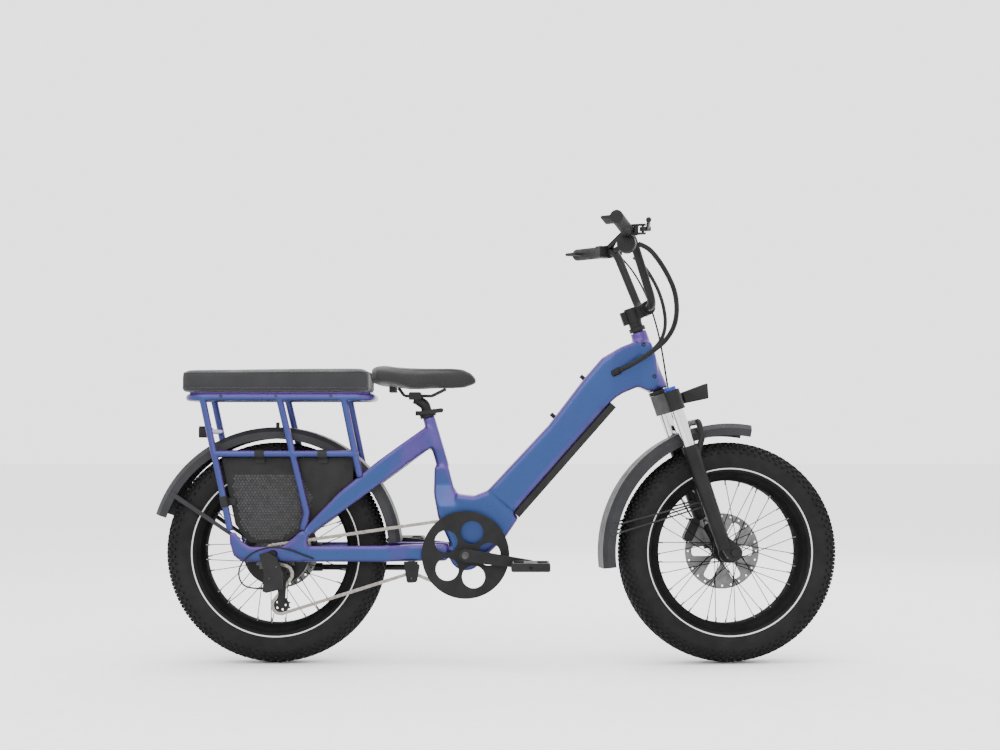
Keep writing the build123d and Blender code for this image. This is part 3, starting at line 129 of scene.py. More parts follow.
camera_data = bpy.data.cameras.new("camera")
camera_data.sensor_width = 36.0
camera_data.lens = camera_data.sensor_width * view_distance / field_width
camera_data.shift_y = (field_middle.z - view_height) / field_width
camera = bpy.data.objects.new("camera", camera_data)
camera.location = (field_middle.x, -view_distance, view_height)
camera.rotation_euler = (pi / 2, 0, 0)
scene.collection.objects.link(camera)
scene.camera = camera
print("lens", round(camera_data.lens, 1), "mm, shift", round(camera_data.shift_y, 3))

# %% [markdown]
# ## Studio
# The bicycle stands on a white floor under large soft boxes. A broad light from the front
# and one from above draw the long pale highlights along the tubes, and the pale world
# fills the shadows.

# %% Studio
def soft_box(name, place, aim, width, height, watts):
    """A large area light that faces a point."""
    data = bpy.data.lights.new(name, "AREA")
    data.shape = "RECTANGLE"
    data.size, data.size_y = width, height
    data.energy = watts
    light = bpy.data.objects.new(name, data)
    light.location = place
    light.rotation_euler = (Vector(aim) - Vector(place)).to_track_quat("-Z", "Y").to_euler()
    scene.collection.objects.link(light)


def studio():
    """Floor, world and lights."""
    world = bpy.data.worlds.new("studio")
    scene.world = world
    world.use_nodes = True
    background = world.node_tree.nodes["Background"]
    background.inputs["Color"].default_value = (1.0, 1.0, 1.0, 1.0)
    background.inputs["Strength"].default_value = 2.5
    mesh = bpy.data.meshes.new("floor")
    far = 30.0
    mesh.from_pydata([(-far, -far, 0), (far, -far, 0), (far, far, 0), (-far, far, 0)], [], [(0, 1, 2, 3)])
    floor = bpy.data.objects.new("floor", mesh)
    scene.collection.objects.link(floor)
    soft_box("front_box", (-0.6, -3.4, 2.3), (0.1, 0, 0.6), 3.0, 1.6, 60)
    soft_box("top_box", (0.0, 0.0, 3.6), (0.0, 0, 0.5), 3.4, 1.4, 90)
    soft_box("back_box", (1.2, 3.4, 2.2), (0.0, 0, 0.6), 3.0, 1.6, 40)
    return floor


floor = studio()

# %% [markdown]
# ## Building with nodes
# Shaders and Geometry Nodes are both trees of nodes. `put` adds one node, sets its
# options, and gives each input a value or a link from another node's output. `group`
# starts a tree with named inputs and outputs, so that its sizes are set where it is used.

# %% Node helpers
def put(tree, kind, inputs=None, **options):
    """Add a node, set its options, and give its inputs values or links."""
    node = tree.nodes.new(kind)
    for name, value in options.items():
        setattr(node, name, value)
    for name, value in (inputs or {}).items():
        if isinstance(value, bpy.types.NodeSocket):
            tree.links.new(value, node.inputs[name])
        else:
            node.inputs[name].default_value = value
    return node


def group(name, kind, inputs, outputs):
    """A node group with named sockets; returns its tree and its input node's outputs."""
    tree = bpy.data.node_groups.new(name, kind)
    for label, (socket_type, value) in inputs.items():
        socket = tree.interface.new_socket(label, in_out="INPUT", socket_type=socket_type)
        if value is not None:
            socket.default_value = value
    for label, socket_type in outputs.items():
        tree.interface.new_socket(label, in_out="OUTPUT", socket_type=socket_type)
    return tree, put(tree, "NodeGroupInput").outputs


NUMBER, VECTOR = "NodeSocketFloat", "NodeSocketVector"


def blend_colours(tree, amount, low, high):
    """A colour that runs from low to high with a mask."""
    mix = put(tree, "ShaderNodeMix", data_type="RGBA")
    for socket, value in ((mix.inputs[0], amount), (mix.inputs[6], low), (mix.inputs[7], high)):
        if isinstance(value, bpy.types.NodeSocket):
            tree.links.new(value, socket)
        else:
            socket.default_value = value
    return mix.outputs[2]


# %% [markdown]
# ## Shared surface effects
# Real surfaces are never even. `patches` gives soft cloudy variation, `grain` the pebbled
# skin of moulded plastic and synthetic leather, `weave` the crossing threads of cloth, and
# `soft edges` finds sharp corners, rounds them for the light and gives their mask, which
# the materials use for a painted highlight.

# %% Shader groups
def patches_group():
    """A cloudy mask between Low and High."""
    tree, given = group(
        "patches", "ShaderNodeTree",
        {"Scale": (NUMBER, 20.0), "Low": (NUMBER, 0.0), "High": (NUMBER, 1.0)}, {"Mask": NUMBER},
    )
    place = put(tree, "ShaderNodeTexCoord").outputs["Object"]
    cloud = put(tree, "ShaderNodeTexNoise", {"Vector": place, "Scale": given["Scale"], "Detail": 4.0})
    spread = put(
        tree, "ShaderNodeMapRange",
        {"Value": cloud.outputs["Fac"], 1: 0.3, 2: 0.7, 3: given["Low"], 4: given["High"]},
    )
    put(tree, "NodeGroupOutput", {"Mask": spread.outputs[0]})
    return tree


def grain_group():
    """Pebbled cells with fine noise between them."""
    tree, given = group("grain", "ShaderNodeTree", {"Scale": (NUMBER, 900.0)}, {"Height": NUMBER})
    place = put(tree, "ShaderNodeTexCoord").outputs["Object"]
    cells = put(tree, "ShaderNodeTexVoronoi", {"Vector": place, "Scale": given["Scale"]}, feature="SMOOTH_F1")
    fine = put(tree, "ShaderNodeTexNoise", {"Vector": place, "Scale": given["Scale"], "Detail": 2.0})
    height = put(
        tree, "ShaderNodeMath", {0: fine.outputs["Fac"], 1: 0.35, 2: cells.outputs["Distance"]},
        operation="MULTIPLY_ADD",
    )
    put(tree, "NodeGroupOutput", {"Height": height.outputs[0]})
    return tree


def weave_group():
    """Two crossed sets of threads, as a height and a mask of the raised ones."""
    tree, given = group(
        "weave", "ShaderNodeTree", {"Threads": (NUMBER, 900.0)}, {"Height": NUMBER, "Mask": NUMBER},
    )
    place = put(tree, "ShaderNodeTexCoord").outputs["Object"]
    waves = []
    for direction in ("X", "DIAGONAL"):
        wave = put(
            tree, "ShaderNodeTexWave",
            {"Vector": place, "Scale": given["Threads"], "Distortion": 0.6, "Detail": 1.0},
            bands_direction=direction,
        )
        waves.append(wave.outputs["Fac"])
    height = put(tree, "ShaderNodeMath", {0: waves[0], 1: waves[1]}, operation="MULTIPLY")
    put(tree, "NodeGroupOutput", {"Height": height.outputs[0], "Mask": waves[0]})
    return tree


def edges_group():
    """Sharp corners, rounded for the light and found as a mask."""
    tree, given = group(
        "soft edges", "ShaderNodeTree", {"Radius": (NUMBER, 0.0012)}, {"Mask": NUMBER, "Normal": VECTOR},
    )
    rounded = put(tree, "ShaderNodeBevel", {"Radius": given["Radius"]}, samples=4).outputs["Normal"]
    true_normal = put(tree, "ShaderNodeNewGeometry").outputs["Normal"]
    alike = put(tree, "ShaderNodeVectorMath", {0: rounded, 1: true_normal}, operation="DOT_PRODUCT")
    mask = put(
        tree, "ShaderNodeMapRange", {"Value": alike.outputs["Value"], 1: 0.98, 2: 0.75, 3: 0.0, 4: 1.0},
    )
    put(tree, "NodeGroupOutput", {"Mask": mask.outputs[0], "Normal": rounded})
    return tree


def axle_group():
    """How far a point lies from an axle."""
    tree, given = group(
        "from axle", "ShaderNodeTree",
        {"Centre": (VECTOR, (0, 0, 0)), "Axle": (VECTOR, (0, 1, 0))}, {"Radius": NUMBER},
    )
    place = put(tree, "ShaderNodeTexCoord").outputs["Object"]
    away = put(tree, "ShaderNodeVectorMath", {0: place, 1: given["Centre"]}, operation="SUBTRACT")
    turned = put(
        tree, "ShaderNodeVectorMath", {0: away.outputs[0], 1: given["Axle"]}, operation="CROSS_PRODUCT",
    )
    length = put(tree, "ShaderNodeVectorMath", {0: turned.outputs[0]}, operation="LENGTH")
    put(tree, "NodeGroupOutput", {"Radius": length.outputs["Value"]})
    return tree


patches, grain, weave = patches_group(), grain_group(), weave_group()
soft_edges, from_axle = edges_group(), axle_group()
print("shader groups", [tree.name for tree in (patches, grain, weave, soft_edges, from_axle)])

# %% [markdown]
# ## Materials
# Every finish is one Principled shader. `coated` covers most of them: a base colour that
# drifts a little in patches and carries a painted highlight, paler along sharp corners, a
# roughness that drifts with it, and a grain that lifts the surface. What is the same all
# over, such as metalness or coat, stays on the shader's own sockets.

# %% Coated materials
def use(tree, shared, **values):
    """Place a shader group with its values; returns its outputs."""
    node = put(tree, "ShaderNodeGroup", node_tree=shared)
    for name, value in values.items():
        node.inputs[name].default_value = value
    return node.outputs


def shade(name, plain):
    """A new material with its plain values set on the shader itself."""
    material = bpy.data.materials.new(name)
    material.use_nodes = True
    shader = material.node_tree.nodes["Principled BSDF"]
    for label, value in plain.items():
        shader.inputs[label].default_value = value
    return material, material.node_tree, shader.inputs


def grey(level, tint=1.0):
    """A near-grey colour, a little bluer where tint is above 1."""
    return (level, level, level * tint, 1.0)


def coated(name, dark, light, rough, grain_size=0.0, lift=0.0, edge=0.35, cloud=18.0, **plain):
    """A painted, moulded or plated surface."""
    material, tree, shader = shade(name, {"Specular IOR Level": 0.16, **plain})
    cloudy = use(tree, patches, Scale=cloud)["Mask"]
    colour = blend_colours(tree, cloudy, dark, light)
    edges = use(tree, soft_edges)
    # painted highlight: sharp corners are painted paler, by the amount edge
    painted_edge_highlight = put(tree, "ShaderNodeMath", {0: edges["Mask"], 1: edge}, operation="MULTIPLY")
    edge_highlight_colour = tuple(min(1.0, channel * 2.2 + 0.02) for channel in light[:3]) + (1.0,)
    tree.links.new(blend_colours(tree, painted_edge_highlight.outputs[0], colour, edge_highlight_colour), shader["Base Color"])
    roughness = use(tree, patches, Scale=cloud * 2.3, Low=rough * 0.85, High=rough * 1.15)["Mask"]
    tree.links.new(roughness, shader["Roughness"])
    if lift:
        height = use(tree, grain, Scale=grain_size)["Height"]
        bump = put(tree, "ShaderNodeBump", {"Height": height, "Strength": lift, "Distance": 0.0004})
        tree.links.new(edges["Normal"], bump.inputs["Normal"])
        tree.links.new(bump.outputs[0], shader["Normal"])
    else:
        tree.links.new(edges["Normal"], shader["Normal"])
    return material


satin_black = coated("satin_black", grey(0.005), grey(0.010, 1.1), 0.42, **{"Specular IOR Level": 0.14})
rim_black = coated("rim_black", grey(0.004), grey(0.008), 0.8, **{"Specular IOR Level": 0.02})
moulded_black = coated("moulded_black", grey(0.006), grey(0.012), 0.55, 1400.0, 0.25)
guard_black = coated("guard_black", grey(0.005), grey(0.009), 0.6, 1400.0, 0.2)
# painted glint: the hole dishes are a lighter grey that stands for light seen through the mesh
mesh_painted_glint = coated("mesh_painted_glint", grey(0.018), grey(0.050, 1.05), 0.6, cloud=140.0)
fender_grey = coated("fender_grey", grey(0.014, 1.12), grey(0.021, 1.15), 0.5, 1100.0, 0.18)
plain_rubber = coated("plain_rubber", grey(0.007), grey(0.013), 0.7, 900.0, 0.3, edge=0.1)
chrome = coated("chrome", grey(0.55), grey(0.62), 0.09, edge=0.0, Metallic=1.0)
bright_steel = coated("bright_steel", grey(0.09), grey(0.15), 0.36, edge=0.2, cloud=60.0, Metallic=1.0)
chain_steel = coated(
    "chain_steel", (0.16, 0.15, 0.13, 1), (0.27, 0.25, 0.23, 1), 0.35, cloud=90.0, Metallic=1.0,
)
dark_steel = coated("dark_steel", grey(0.03), grey(0.07), 0.38, cloud=70.0, Metallic=1.0)
blue_anodised = coated("blue_anodised", (0.01, 0.03, 0.25, 1), (0.02, 0.05, 0.38, 1), 0.35, Metallic=0.4)
print("coated materials", len(bpy.data.materials))

# %% [markdown]
# ## Frame paint
# The paint flips from blue to violet: broad sides are blue, and shoulders that look up or
# forward turn violet. A real flip paint does that by angle, which would slide about in other
# views, so the surface's own direction picks the colour here. The same colours also hold
# painted light: the top is painted a lighter violet and the shoulders a little darker than
# the sides, and what looks down is deep indigo, which is painted shade. The direction is
# taken with the corners rounded by 28 mm, as on a hydroformed tube, so that the colours run
# into each other. Flakes and a clear coat follow.

# %% Frame paint
def flip_paint_and_painted_light():
    """Blue on the broad sides, violet over the shoulders, a painted lighter top, and painted shade in deep
    indigo below.
    """
    material, tree, shader = shade(
        "flip_paint_and_painted_light",
        {"Metallic": 0.6, "Specular IOR Level": 0.15, "Coat Weight": 0.15, "Coat Roughness": 0.15},
    )
    rounded_normal = put(tree, "ShaderNodeBevel", {"Radius": 0.028}, samples=12).outputs["Normal"]
    own_normal = put(
        tree, "ShaderNodeVectorTransform", {"Vector": rounded_normal},
        vector_type="NORMAL", convert_from="WORLD", convert_to="OBJECT",
    )
    split = put(tree, "ShaderNodeSeparateXYZ", {0: own_normal.outputs[0]})
    sideways = put(tree, "ShaderNodeMath", {0: split.outputs["Y"]}, operation="ABSOLUTE").outputs[0]
    drift = use(tree, patches, Scale=5.0, Low=-0.2, High=0.12)["Mask"]

    def mask(value, low, high):
        shifted = put(tree, "ShaderNodeMath", {0: value, 1: drift}, operation="ADD")
        return put(
            tree, "ShaderNodeMapRange", {"Value": shifted.outputs[0], 1: low, 2: high},
            interpolation_type="SMOOTHSTEP",
        ).outputs[0]

    # the violet is the paint's flip; the top is painted lighter and the shoulders darker than the sides, as
    # painted light and shade
    shoulder, side = (0.040, 0.022, 0.120, 1.0), (0.018, 0.042, 0.135, 1.0)
    top, front, painted_shade_underside = (0.075, 0.036, 0.175, 1.0), (0.062, 0.042, 0.180, 1.0), (0.016, 0.016, 0.060, 1.0)
    colour = blend_colours(tree, mask(sideways, 0.55, 1.02), shoulder, side)
    colour = blend_colours(tree, mask(split.outputs["Z"], 0.15, 0.80), colour, top)
    colour = blend_colours(tree, mask(split.outputs["X"], 0.15, 0.80), colour, front)
    # painted shade: what looks down turns deep indigo
    colour = blend_colours(tree, mask(split.outputs["Z"], -0.30, -0.95), colour, painted_shade_underside)
    place = put(tree, "ShaderNodeTexCoord").outputs["Object"]
    flakes = put(tree, "ShaderNodeTexVoronoi", {"Vector": place, "Scale": 2600.0})
    sparkle = put(
        tree, "ShaderNodeMapRange", {"Value": flakes.outputs["Color"], 1: 0.0, 2: 1.0, 3: 0.86, 4: 1.16},
    )
    lit = put(tree, "ShaderNodeVectorMath", {0: colour, "Scale": sparkle.outputs[0]}, operation="SCALE")
    tree.links.new(lit.outputs[0], shader["Base Color"])
    tree.links.new(use(tree, patches, Scale=30.0, Low=0.26, High=0.34)["Mask"], shader["Roughness"])
    tree.links.new(use(tree, soft_edges, Radius=0.008)["Normal"], shader["Normal"])
    return material


frame_paint = flip_paint_and_painted_light()
print("frame paint", frame_paint.name)

# %% [markdown]
# ## Rubber, cloth, light
# The tyre's sidewall carries a thin reflective ring, found by its distance from the axle.
# The saddle has a pebbled cover and the rack pad a tight weave. The cable sleeves are
# braided, and the lamps have clear and red plastic over a pale reflector.

# %% Soft and clear materials
def tyre_rubber(name, axle, spin):
    """Black rubber with a reflective ring and faint moulded rings on the sidewall."""
    material, tree, shader = shade(name, {"Specular IOR Level": 0.14})
    radius = use(tree, from_axle, Centre=axle, Axle=spin)["Radius"]
    base = blend_colours(tree, use(tree, patches, Scale=14.0)["Mask"], grey(0.004), grey(0.008, 1.05))
    stripe = put(tree, "ShaderNodeMath", {0: radius, 1: 0.2205, 2: 0.0016}, operation="COMPARE")
    striped = blend_colours(tree, stripe.outputs[0], base, (0.52, 0.52, 0.50, 1.0))
    tree.links.new(striped, shader["Base Color"])
    tree.links.new(use(tree, patches, Scale=40.0, Low=0.6, High=0.78)["Mask"], shader["Roughness"])
    rings = put(tree, "ShaderNodeMath", {0: radius, 1: 2600.0}, operation="MULTIPLY")
    waves = put(tree, "ShaderNodeMath", {0: rings.outputs[0]}, operation="SINE")
    skin = use(tree, grain, Scale=1200.0)["Height"]
    height = put(tree, "ShaderNodeMath", {0: waves.outputs[0], 1: 0.3, 2: skin}, operation="MULTIPLY_ADD")
    bump = put(tree, "ShaderNodeBump", {"Height": height.outputs[0], "Strength": 0.35, "Distance": 0.0005})
    tree.links.new(bump.outputs[0], shader["Normal"])
    return material


def covered(name, dark, light, rough, height_of, lift, **plain):
    """A soft cover whose threads or pebbles come from a shared group."""
    material, tree, shader = shade(name, {"Specular IOR Level": 0.16, **plain})
    cloudy = use(tree, patches, Scale=9.0)["Mask"]
    tree.links.new(blend_colours(tree, cloudy, dark, light), shader["Base Color"])
    roughness = use(tree, patches, Scale=25.0, Low=rough * 0.9, High=rough * 1.1)["Mask"]
    tree.links.new(roughness, shader["Roughness"])
    bump = put(tree, "ShaderNodeBump", {"Height": height_of(tree), "Strength": lift, "Distance": 0.0006})
    tree.links.new(bump.outputs[0], shader["Normal"])
    return material


front_tyre_rubber = tyre_rubber("front_tyre_rubber", front_axle, front_spin)
rear_tyre_rubber = tyre_rubber("rear_tyre_rubber", rear_axle, across)
saddle_cover = covered(
    "saddle_cover", grey(0.008), grey(0.014, 1.08), 0.5,
    lambda tree: use(tree, grain, Scale=700.0)["Height"], 0.4,
    **{"Sheen Weight": 0.15},
)
pad_cloth = covered(
    "pad_cloth", grey(0.011, 1.05), grey(0.017, 1.15), 0.75,
    lambda tree: use(tree, weave, Threads=600.0)["Height"], 0.5,
    **{"Sheen Weight": 0.3, "Sheen Roughness": 0.5},
)
braided_sleeve = covered(
    "braided_sleeve", grey(0.005), grey(0.014), 0.55,
    lambda tree: use(tree, weave, Threads=420.0)["Height"], 0.9,
)
cable_jacket = covered(
    "cable_jacket", grey(0.005), grey(0.009), 0.42, lambda tree: use(tree, grain, Scale=500.0)["Height"], 0.1,
)
thread = covered(
    "thread", grey(0.02), grey(0.035), 0.7, lambda tree: use(tree, weave, Threads=2500.0)["Height"], 0.5,
)
lamp_glass = coated("lamp_glass", grey(0.16), grey(0.24), 0.10, edge=0.0, **{"Coat Weight": 1.0})
red_lens = coated("red_lens", (0.20, 0.004, 0.006, 1), (0.32, 0.010, 0.012, 1), 0.15, edge=0.1)
display_glass = coated("display_glass", grey(0.006), grey(0.010), 0.08, edge=0.0, **{"Coat Weight": 1.0})
white_floor = coated("white_floor", grey(0.86), grey(0.90), 0.8, edge=0.0)
floor.data.materials.append(white_floor)
print("materials", len(bpy.data.materials))

# %% [markdown]
# ## Finishing a CAD node
# A CAD node's mesh is loose triangles. Where its shape is right, a welded copy with smooth
# shading over its curves stands for it. `settle` gives each finished piece the body it
# moves with.

# %% Finishing helpers
def settle(piece, body, slot, *stands_for):
    """A finished piece rides on a body and may stand for CAD nodes; slot is not used."""
    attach(piece, body)
    if stands_for:
        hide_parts(*stands_for)
    triangles = sum(len(face.vertices) - 2 for face in piece.data.polygons)
    print(f"  {piece.name}: {triangles} triangles on {body}")
    return piece


def add_piece(name, mesh, material=None):
    """A new object at the origin for a mesh whose place is in its points."""
    if material:
        mesh.materials.clear()
        mesh.materials.append(material)
    piece = bpy.data.objects.new(name, mesh)
    scene.collection.objects.link(piece)
    return piece


def shade_by_angle(mesh, degrees=35):
    """Smooth shading that keeps corners crisp."""
    mesh.shade_smooth()
    mesh.set_sharp_from_angle(angle=radians(degrees))


def welded_copy(name, *copied):
    """CAD nodes' triangles, joined into one mesh with shared points."""
    bm = bmesh.new()
    for node in copied:
        bm.from_mesh(nodes[node].data)
    bmesh.ops.remove_doubles(bm, verts=bm.verts, dist=2e-6)
    points = [vertex.co.copy() for vertex in bm.verts]
    faces = [[vertex.index for vertex in face.verts] for face in bm.faces if face.calc_area() > 1e-14]
    bm.free()
    mesh = bpy.data.meshes.new(name)
    mesh.from_pydata(points, [], faces)
    shade_by_angle(mesh)
    return mesh


def body_with(node):
    """The CAD body that a node belongs to."""
    return nodes[node]["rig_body"]


def refine(node, slot, *materials, choose=None):
    """Stand a smooth copy for a CAD node; choose picks a material by a face's middle."""
    mesh = welded_copy(node + "_finished", node)
    for material in materials:
        mesh.materials.append(material)
    if choose:
        for face in mesh.polygons:
            face.material_index = choose(face)
    piece = add_piece(node + "_finished", mesh)
    return settle(piece, body_with(node), slot, node)


# %% Plain CAD pieces
def part_of_wheel(axle, spin, low, high, inner):
    """Picks faces of a wheel between two distances along the axle and beyond a radius."""
    def chosen(face):
        away = face.center - axle
        along = away.dot(spin)
        return int(low * mm < along < high * mm and (away - spin * along).length > inner * mm)
    return chosen


refine("front_rim", "black_metal", rim_black)
refine("rear_rim", "black_metal", rim_black)
rear_disc = part_of_wheel(rear_axle, across, 59.5, 62.5, 21)
front_disc = part_of_wheel(front_axle, front_spin, 49.5, 52.5, 21)
refine("hub_motor", "black_metal", satin_black, bright_steel, choose=rear_disc)
refine("front_hub", "black_metal", satin_black, bright_steel, choose=front_disc)
refine("cassette", "steel", dark_steel)
refine("crank_arms", "black_metal", satin_black)
refine("chainring", "black_plastic", guard_black)
refine("stanchions", "chrome", chrome)
refine("lockout_knob", "blue_knob", blue_anodised)
refine("headlight", "black_plastic", moulded_black, lamp_glass, choose=lambda face: int(face.normal.x > 0.9))
refine("tail_light", "black_plastic", moulded_black, red_lens, choose=lambda face: int(face.normal.x < -0.7))
refine(
    "cockpit_controls", "black_plastic", moulded_black, display_glass,
    choose=lambda face: int(face.normal.x < -0.6 and face.normal.z > 0.6),
)
for plain in (
    "bottom_bracket", "frame_fittings", "rear_axle", "rear_caliper", "seat_post", "seat_clamp_lever",
    "fork_crown", "fork_lowers", "stem", "handlebar", "brake_perches", "brake_lever_right",
    "brake_lever_left", "front_caliper", "front_axle", "kickstand_leg", "saddle_rails", "chain_guide",
):
    refine(plain, "black_metal", satin_black)
for plain in (
    "battery", "derailleur", "shifter_pod", "shift_lever", "pedal_right", "pedal_left", "guide_pulley",
    "tension_pulley", "chain_roller",
):
    refine(plain, "black_plastic", moulded_black)
refine("rack_frame", "frame_paint", frame_paint)
refine("wheel_guards", "guard_mesh", moulded_black)
for fender in ("rear_fender", "front_fender"):
    refine(fender, "fender_plastic", fender_grey)

# %% [markdown]
# ## Frame tubes
# The down tube, cradle and stays are hydroformed aluminium: soft-cornered boxes that run
# into each other. Joining the CAD tubes and remeshing them as one skin melts the seams, and
# a smoothing pass rolls the corners. The rack's thin round tubes stay as they are, because
# a remesh fine enough for them would be needlessly heavy.

# %% Frame tubes
def melted(name, members, voxel, smoothing):
    """CAD tubes joined into one smooth-cornered skin."""
    piece = add_piece(name, welded_copy(name, *members))
    remesh = piece.modifiers.new("skin", "REMESH")
    remesh.mode = "VOXEL"
    remesh.voxel_size = voxel
    smooth = piece.modifiers.new("corners", "SMOOTH")
    smooth.factor = 0.5
    smooth.iterations = smoothing
    depsgraph = bpy.context.evaluated_depsgraph_get()
    mesh = bpy.data.meshes.new_from_object(piece.evaluated_get(depsgraph), depsgraph=depsgraph)
    bpy.data.objects.remove(piece)
    mesh.shade_smooth()
    return mesh


tube_nodes = ("head_tube", "down_tube", "cradle", "seat_tube", "seat_stays", "chain_stays", "dropout_plates")
tubes = add_piece("frame_tubes", melted("frame_tubes", tube_nodes, 0.0031, 22), frame_paint)
settle(tubes, "frame", "frame_paint", *tube_nodes)
grips = add_piece("grips_moulded", melted("grips_moulded", ("grips",), 0.0014, 8), plain_rubber)
settle(grips, "steering", "grip_rubber", "grips")

# %% [markdown]
# ## Copies with Geometry Nodes
# A bicycle is full of things that repeat: tread blocks, chain links, teeth, bolts,
# stitches. Three small trees make them all. One sets copies in a ring, one along a curve,
# and one on marked spots that each carry a direction. Each ends in Realize Instances and
# Set Material, and `grown` turns the result into a plain mesh.

# %% Geometry Nodes trees
SHAPE, COUNT, FINISH = "NodeSocketObject", "NodeSocketInt", "NodeSocketMaterial"
GEOMETRY = "NodeSocketGeometry"


def finish_tree(tree, instances, finish):
    """End a tree: real geometry with its material."""
    real = put(tree, "GeometryNodeRealizeInstances", {0: instances})
    painted = put(tree, "GeometryNodeSetMaterial", {"Geometry": real.outputs[0], "Material": finish})
    put(tree, "NodeGroupOutput", {"Geometry": painted.outputs[0]})


def placed_shape(tree, shape):
    """The geometry of a shape given as an object."""
    return put(tree, "GeometryNodeObjectInfo", {"Object": shape, "As Instance": True}).outputs["Geometry"]


def ring_tree():
    """Copies round the Z axis, each with its X axis outward."""
    tree, given = group(
        "ring of copies", "GeometryNodeTree",
        {"Geometry": (GEOMETRY, None), "Shape": (SHAPE, None), "Count": (COUNT, 12), "Radius": (NUMBER, 0.1),
         "Finish": (FINISH, None)},
        {"Geometry": GEOMETRY},
    )
    ring = put(tree, "GeometryNodeMeshCircle", {"Vertices": given["Count"], "Radius": given["Radius"]})
    outward = put(tree, "GeometryNodeInputPosition").outputs[0]
    turn = put(tree, "FunctionNodeAlignRotationToVector", {"Vector": outward}, axis="X", pivot_axis="Z")
    copies = put(
        tree, "GeometryNodeInstanceOnPoints",
        {"Points": ring.outputs[0], "Instance": placed_shape(tree, given["Shape"]),
         "Rotation": turn.outputs[0]},
    )
    finish_tree(tree, copies.outputs[0], given["Finish"])
    return tree


def path_tree(name, pivot):
    """Copies along a curve with X along it; every other copy may be a second shape."""
    tree, given = group(
        name, "GeometryNodeTree",
        {"Geometry": (GEOMETRY, None), "Even shape": (SHAPE, None), "Odd shape": (SHAPE, None),
         "Count": (COUNT, 12), "Finish": (FINISH, None)},
        {"Geometry": GEOMETRY},
    )
    points = put(
        tree, "GeometryNodeCurveToPoints", {"Curve": given["Geometry"], "Count": given["Count"]},
        mode="COUNT",
    )
    turn = put(
        tree, "FunctionNodeAlignRotationToVector", {"Vector": points.outputs["Tangent"]},
        axis="X", pivot_axis=pivot,
    )
    index = put(tree, "GeometryNodeInputIndex").outputs[0]
    odd = put(tree, "ShaderNodeMath", {0: index, 1: 2.0}, operation="MODULO").outputs[0]
    even = put(tree, "ShaderNodeMath", {0: 1.0, 1: odd}, operation="SUBTRACT").outputs[0]
    both = put(tree, "GeometryNodeJoinGeometry")
    for shape, chosen in (("Even shape", even), ("Odd shape", odd)):
        copies = put(
            tree, "GeometryNodeInstanceOnPoints",
            {"Points": points.outputs["Points"], "Instance": placed_shape(tree, given[shape]),
             "Rotation": turn.outputs[0], "Selection": chosen},
        )
        tree.links.new(copies.outputs[0], both.inputs[0])
    finish_tree(tree, both.outputs[0], given["Finish"])
    return tree


def spots_tree():
    """Copies on marked points, each with its Z axis along the point's own direction."""
    tree, given = group(
        "copies on spots", "GeometryNodeTree",
        {"Geometry": (GEOMETRY, None), "Shape": (SHAPE, None), "Finish": (FINISH, None)},
        {"Geometry": GEOMETRY},
    )
    facing = put(tree, "GeometryNodeInputNamedAttribute", {"Name": "facing"}, data_type="FLOAT_VECTOR")
    turn = put(tree, "FunctionNodeAlignRotationToVector", {"Vector": facing.outputs["Attribute"]}, axis="Z")
    copies = put(
        tree, "GeometryNodeInstanceOnPoints",
        {"Points": given["Geometry"], "Instance": placed_shape(tree, given["Shape"]),
         "Rotation": turn.outputs[0]},
    )
    finish_tree(tree, copies.outputs[0], given["Finish"])
    return tree


def grown(base, tree, values):
    """The plain mesh that a tree makes from a base object, which is then removed."""
    sockets = {item.name: item.identifier for item in tree.interface.items_tree if item.in_out == "INPUT"}
    modifier = base.modifiers.new(tree.name, "NODES")
    modifier.node_group = tree
    for label, value in values.items():
        modifier[sockets[label]] = value
    depsgraph = bpy.context.evaluated_depsgraph_get()
    mesh = bpy.data.meshes.new_from_object(base.evaluated_get(depsgraph), depsgraph=depsgraph)
    bpy.data.objects.remove(base)
    return mesh


ring_copies, spot_copies = ring_tree(), spots_tree()
flat_path_copies = path_tree("copies along a flat path", "Y")
free_path_copies = path_tree("copies along a path", "AUTO")
print("geometry trees", [tree.name for tree in bpy.data.node_groups if tree.type == "GEOMETRY"])

# %% [markdown]
# ## Small shapes to repeat
# Each repeated shape is a template with a few dozen faces at most. `bar_shape` is a box
# with chamfered corners, and `stack_shape` a turned shape such as a bolt head, given by
# the radii of its steps. Templates are removed at the end.

# %% Template shapes
templates = []


def template(name, bm):
    """Keep a small shape for a tree to copy."""
    bmesh.ops.recalc_face_normals(bm, faces=bm.faces)
    mesh = bpy.data.meshes.new(name)
    bm.to_mesh(mesh)
    bm.free()
    piece = add_piece(name, mesh)
    templates.append(piece)
    return piece


def bar_shape(name, size, chamfer=0.0, taper=1.0, move=(0, 0, 0)):
    """A box with optional chamfers, whose outer end (+X) is drawn in by taper."""
    bm = bmesh.new()
    bmesh.ops.create_cube(bm, size=1.0)
    for vertex in bm.verts:
        drawn = taper if vertex.co.x > 0 else 1.0
        x, y, z = vertex.co
        vertex.co = (Vector((x * size[0], y * size[1] * drawn, z * size[2] * drawn)) + Vector(move)) * mm
    if chamfer:
        bmesh.ops.bevel(bm, geom=bm.edges[:], offset=chamfer * mm, segments=1, affect="EDGES")
    return template(name, bm)


def stack_shape(name, steps, sides=16):
    """A turned shape along Z, given as (radius, height) steps, closed at both ends."""
    bm = bmesh.new()
    rings = []
    for radius, height in steps:
        ring = []
        for side in range(sides):
            turn = side * 2 * pi / sides
            ring.append(bm.verts.new((radius * mm * cos(turn), radius * mm * sin(turn), height * mm)))
        rings.append(ring)
    bm.faces.new(rings[0])
    bm.faces.new(rings[-1])
    for low, high in zip(rings, rings[1:]):
        for turn in range(sides):
            after = (turn + 1) % sides
            bm.faces.new((low[turn], low[after], high[after], high[turn]))
    return template(name, bm)


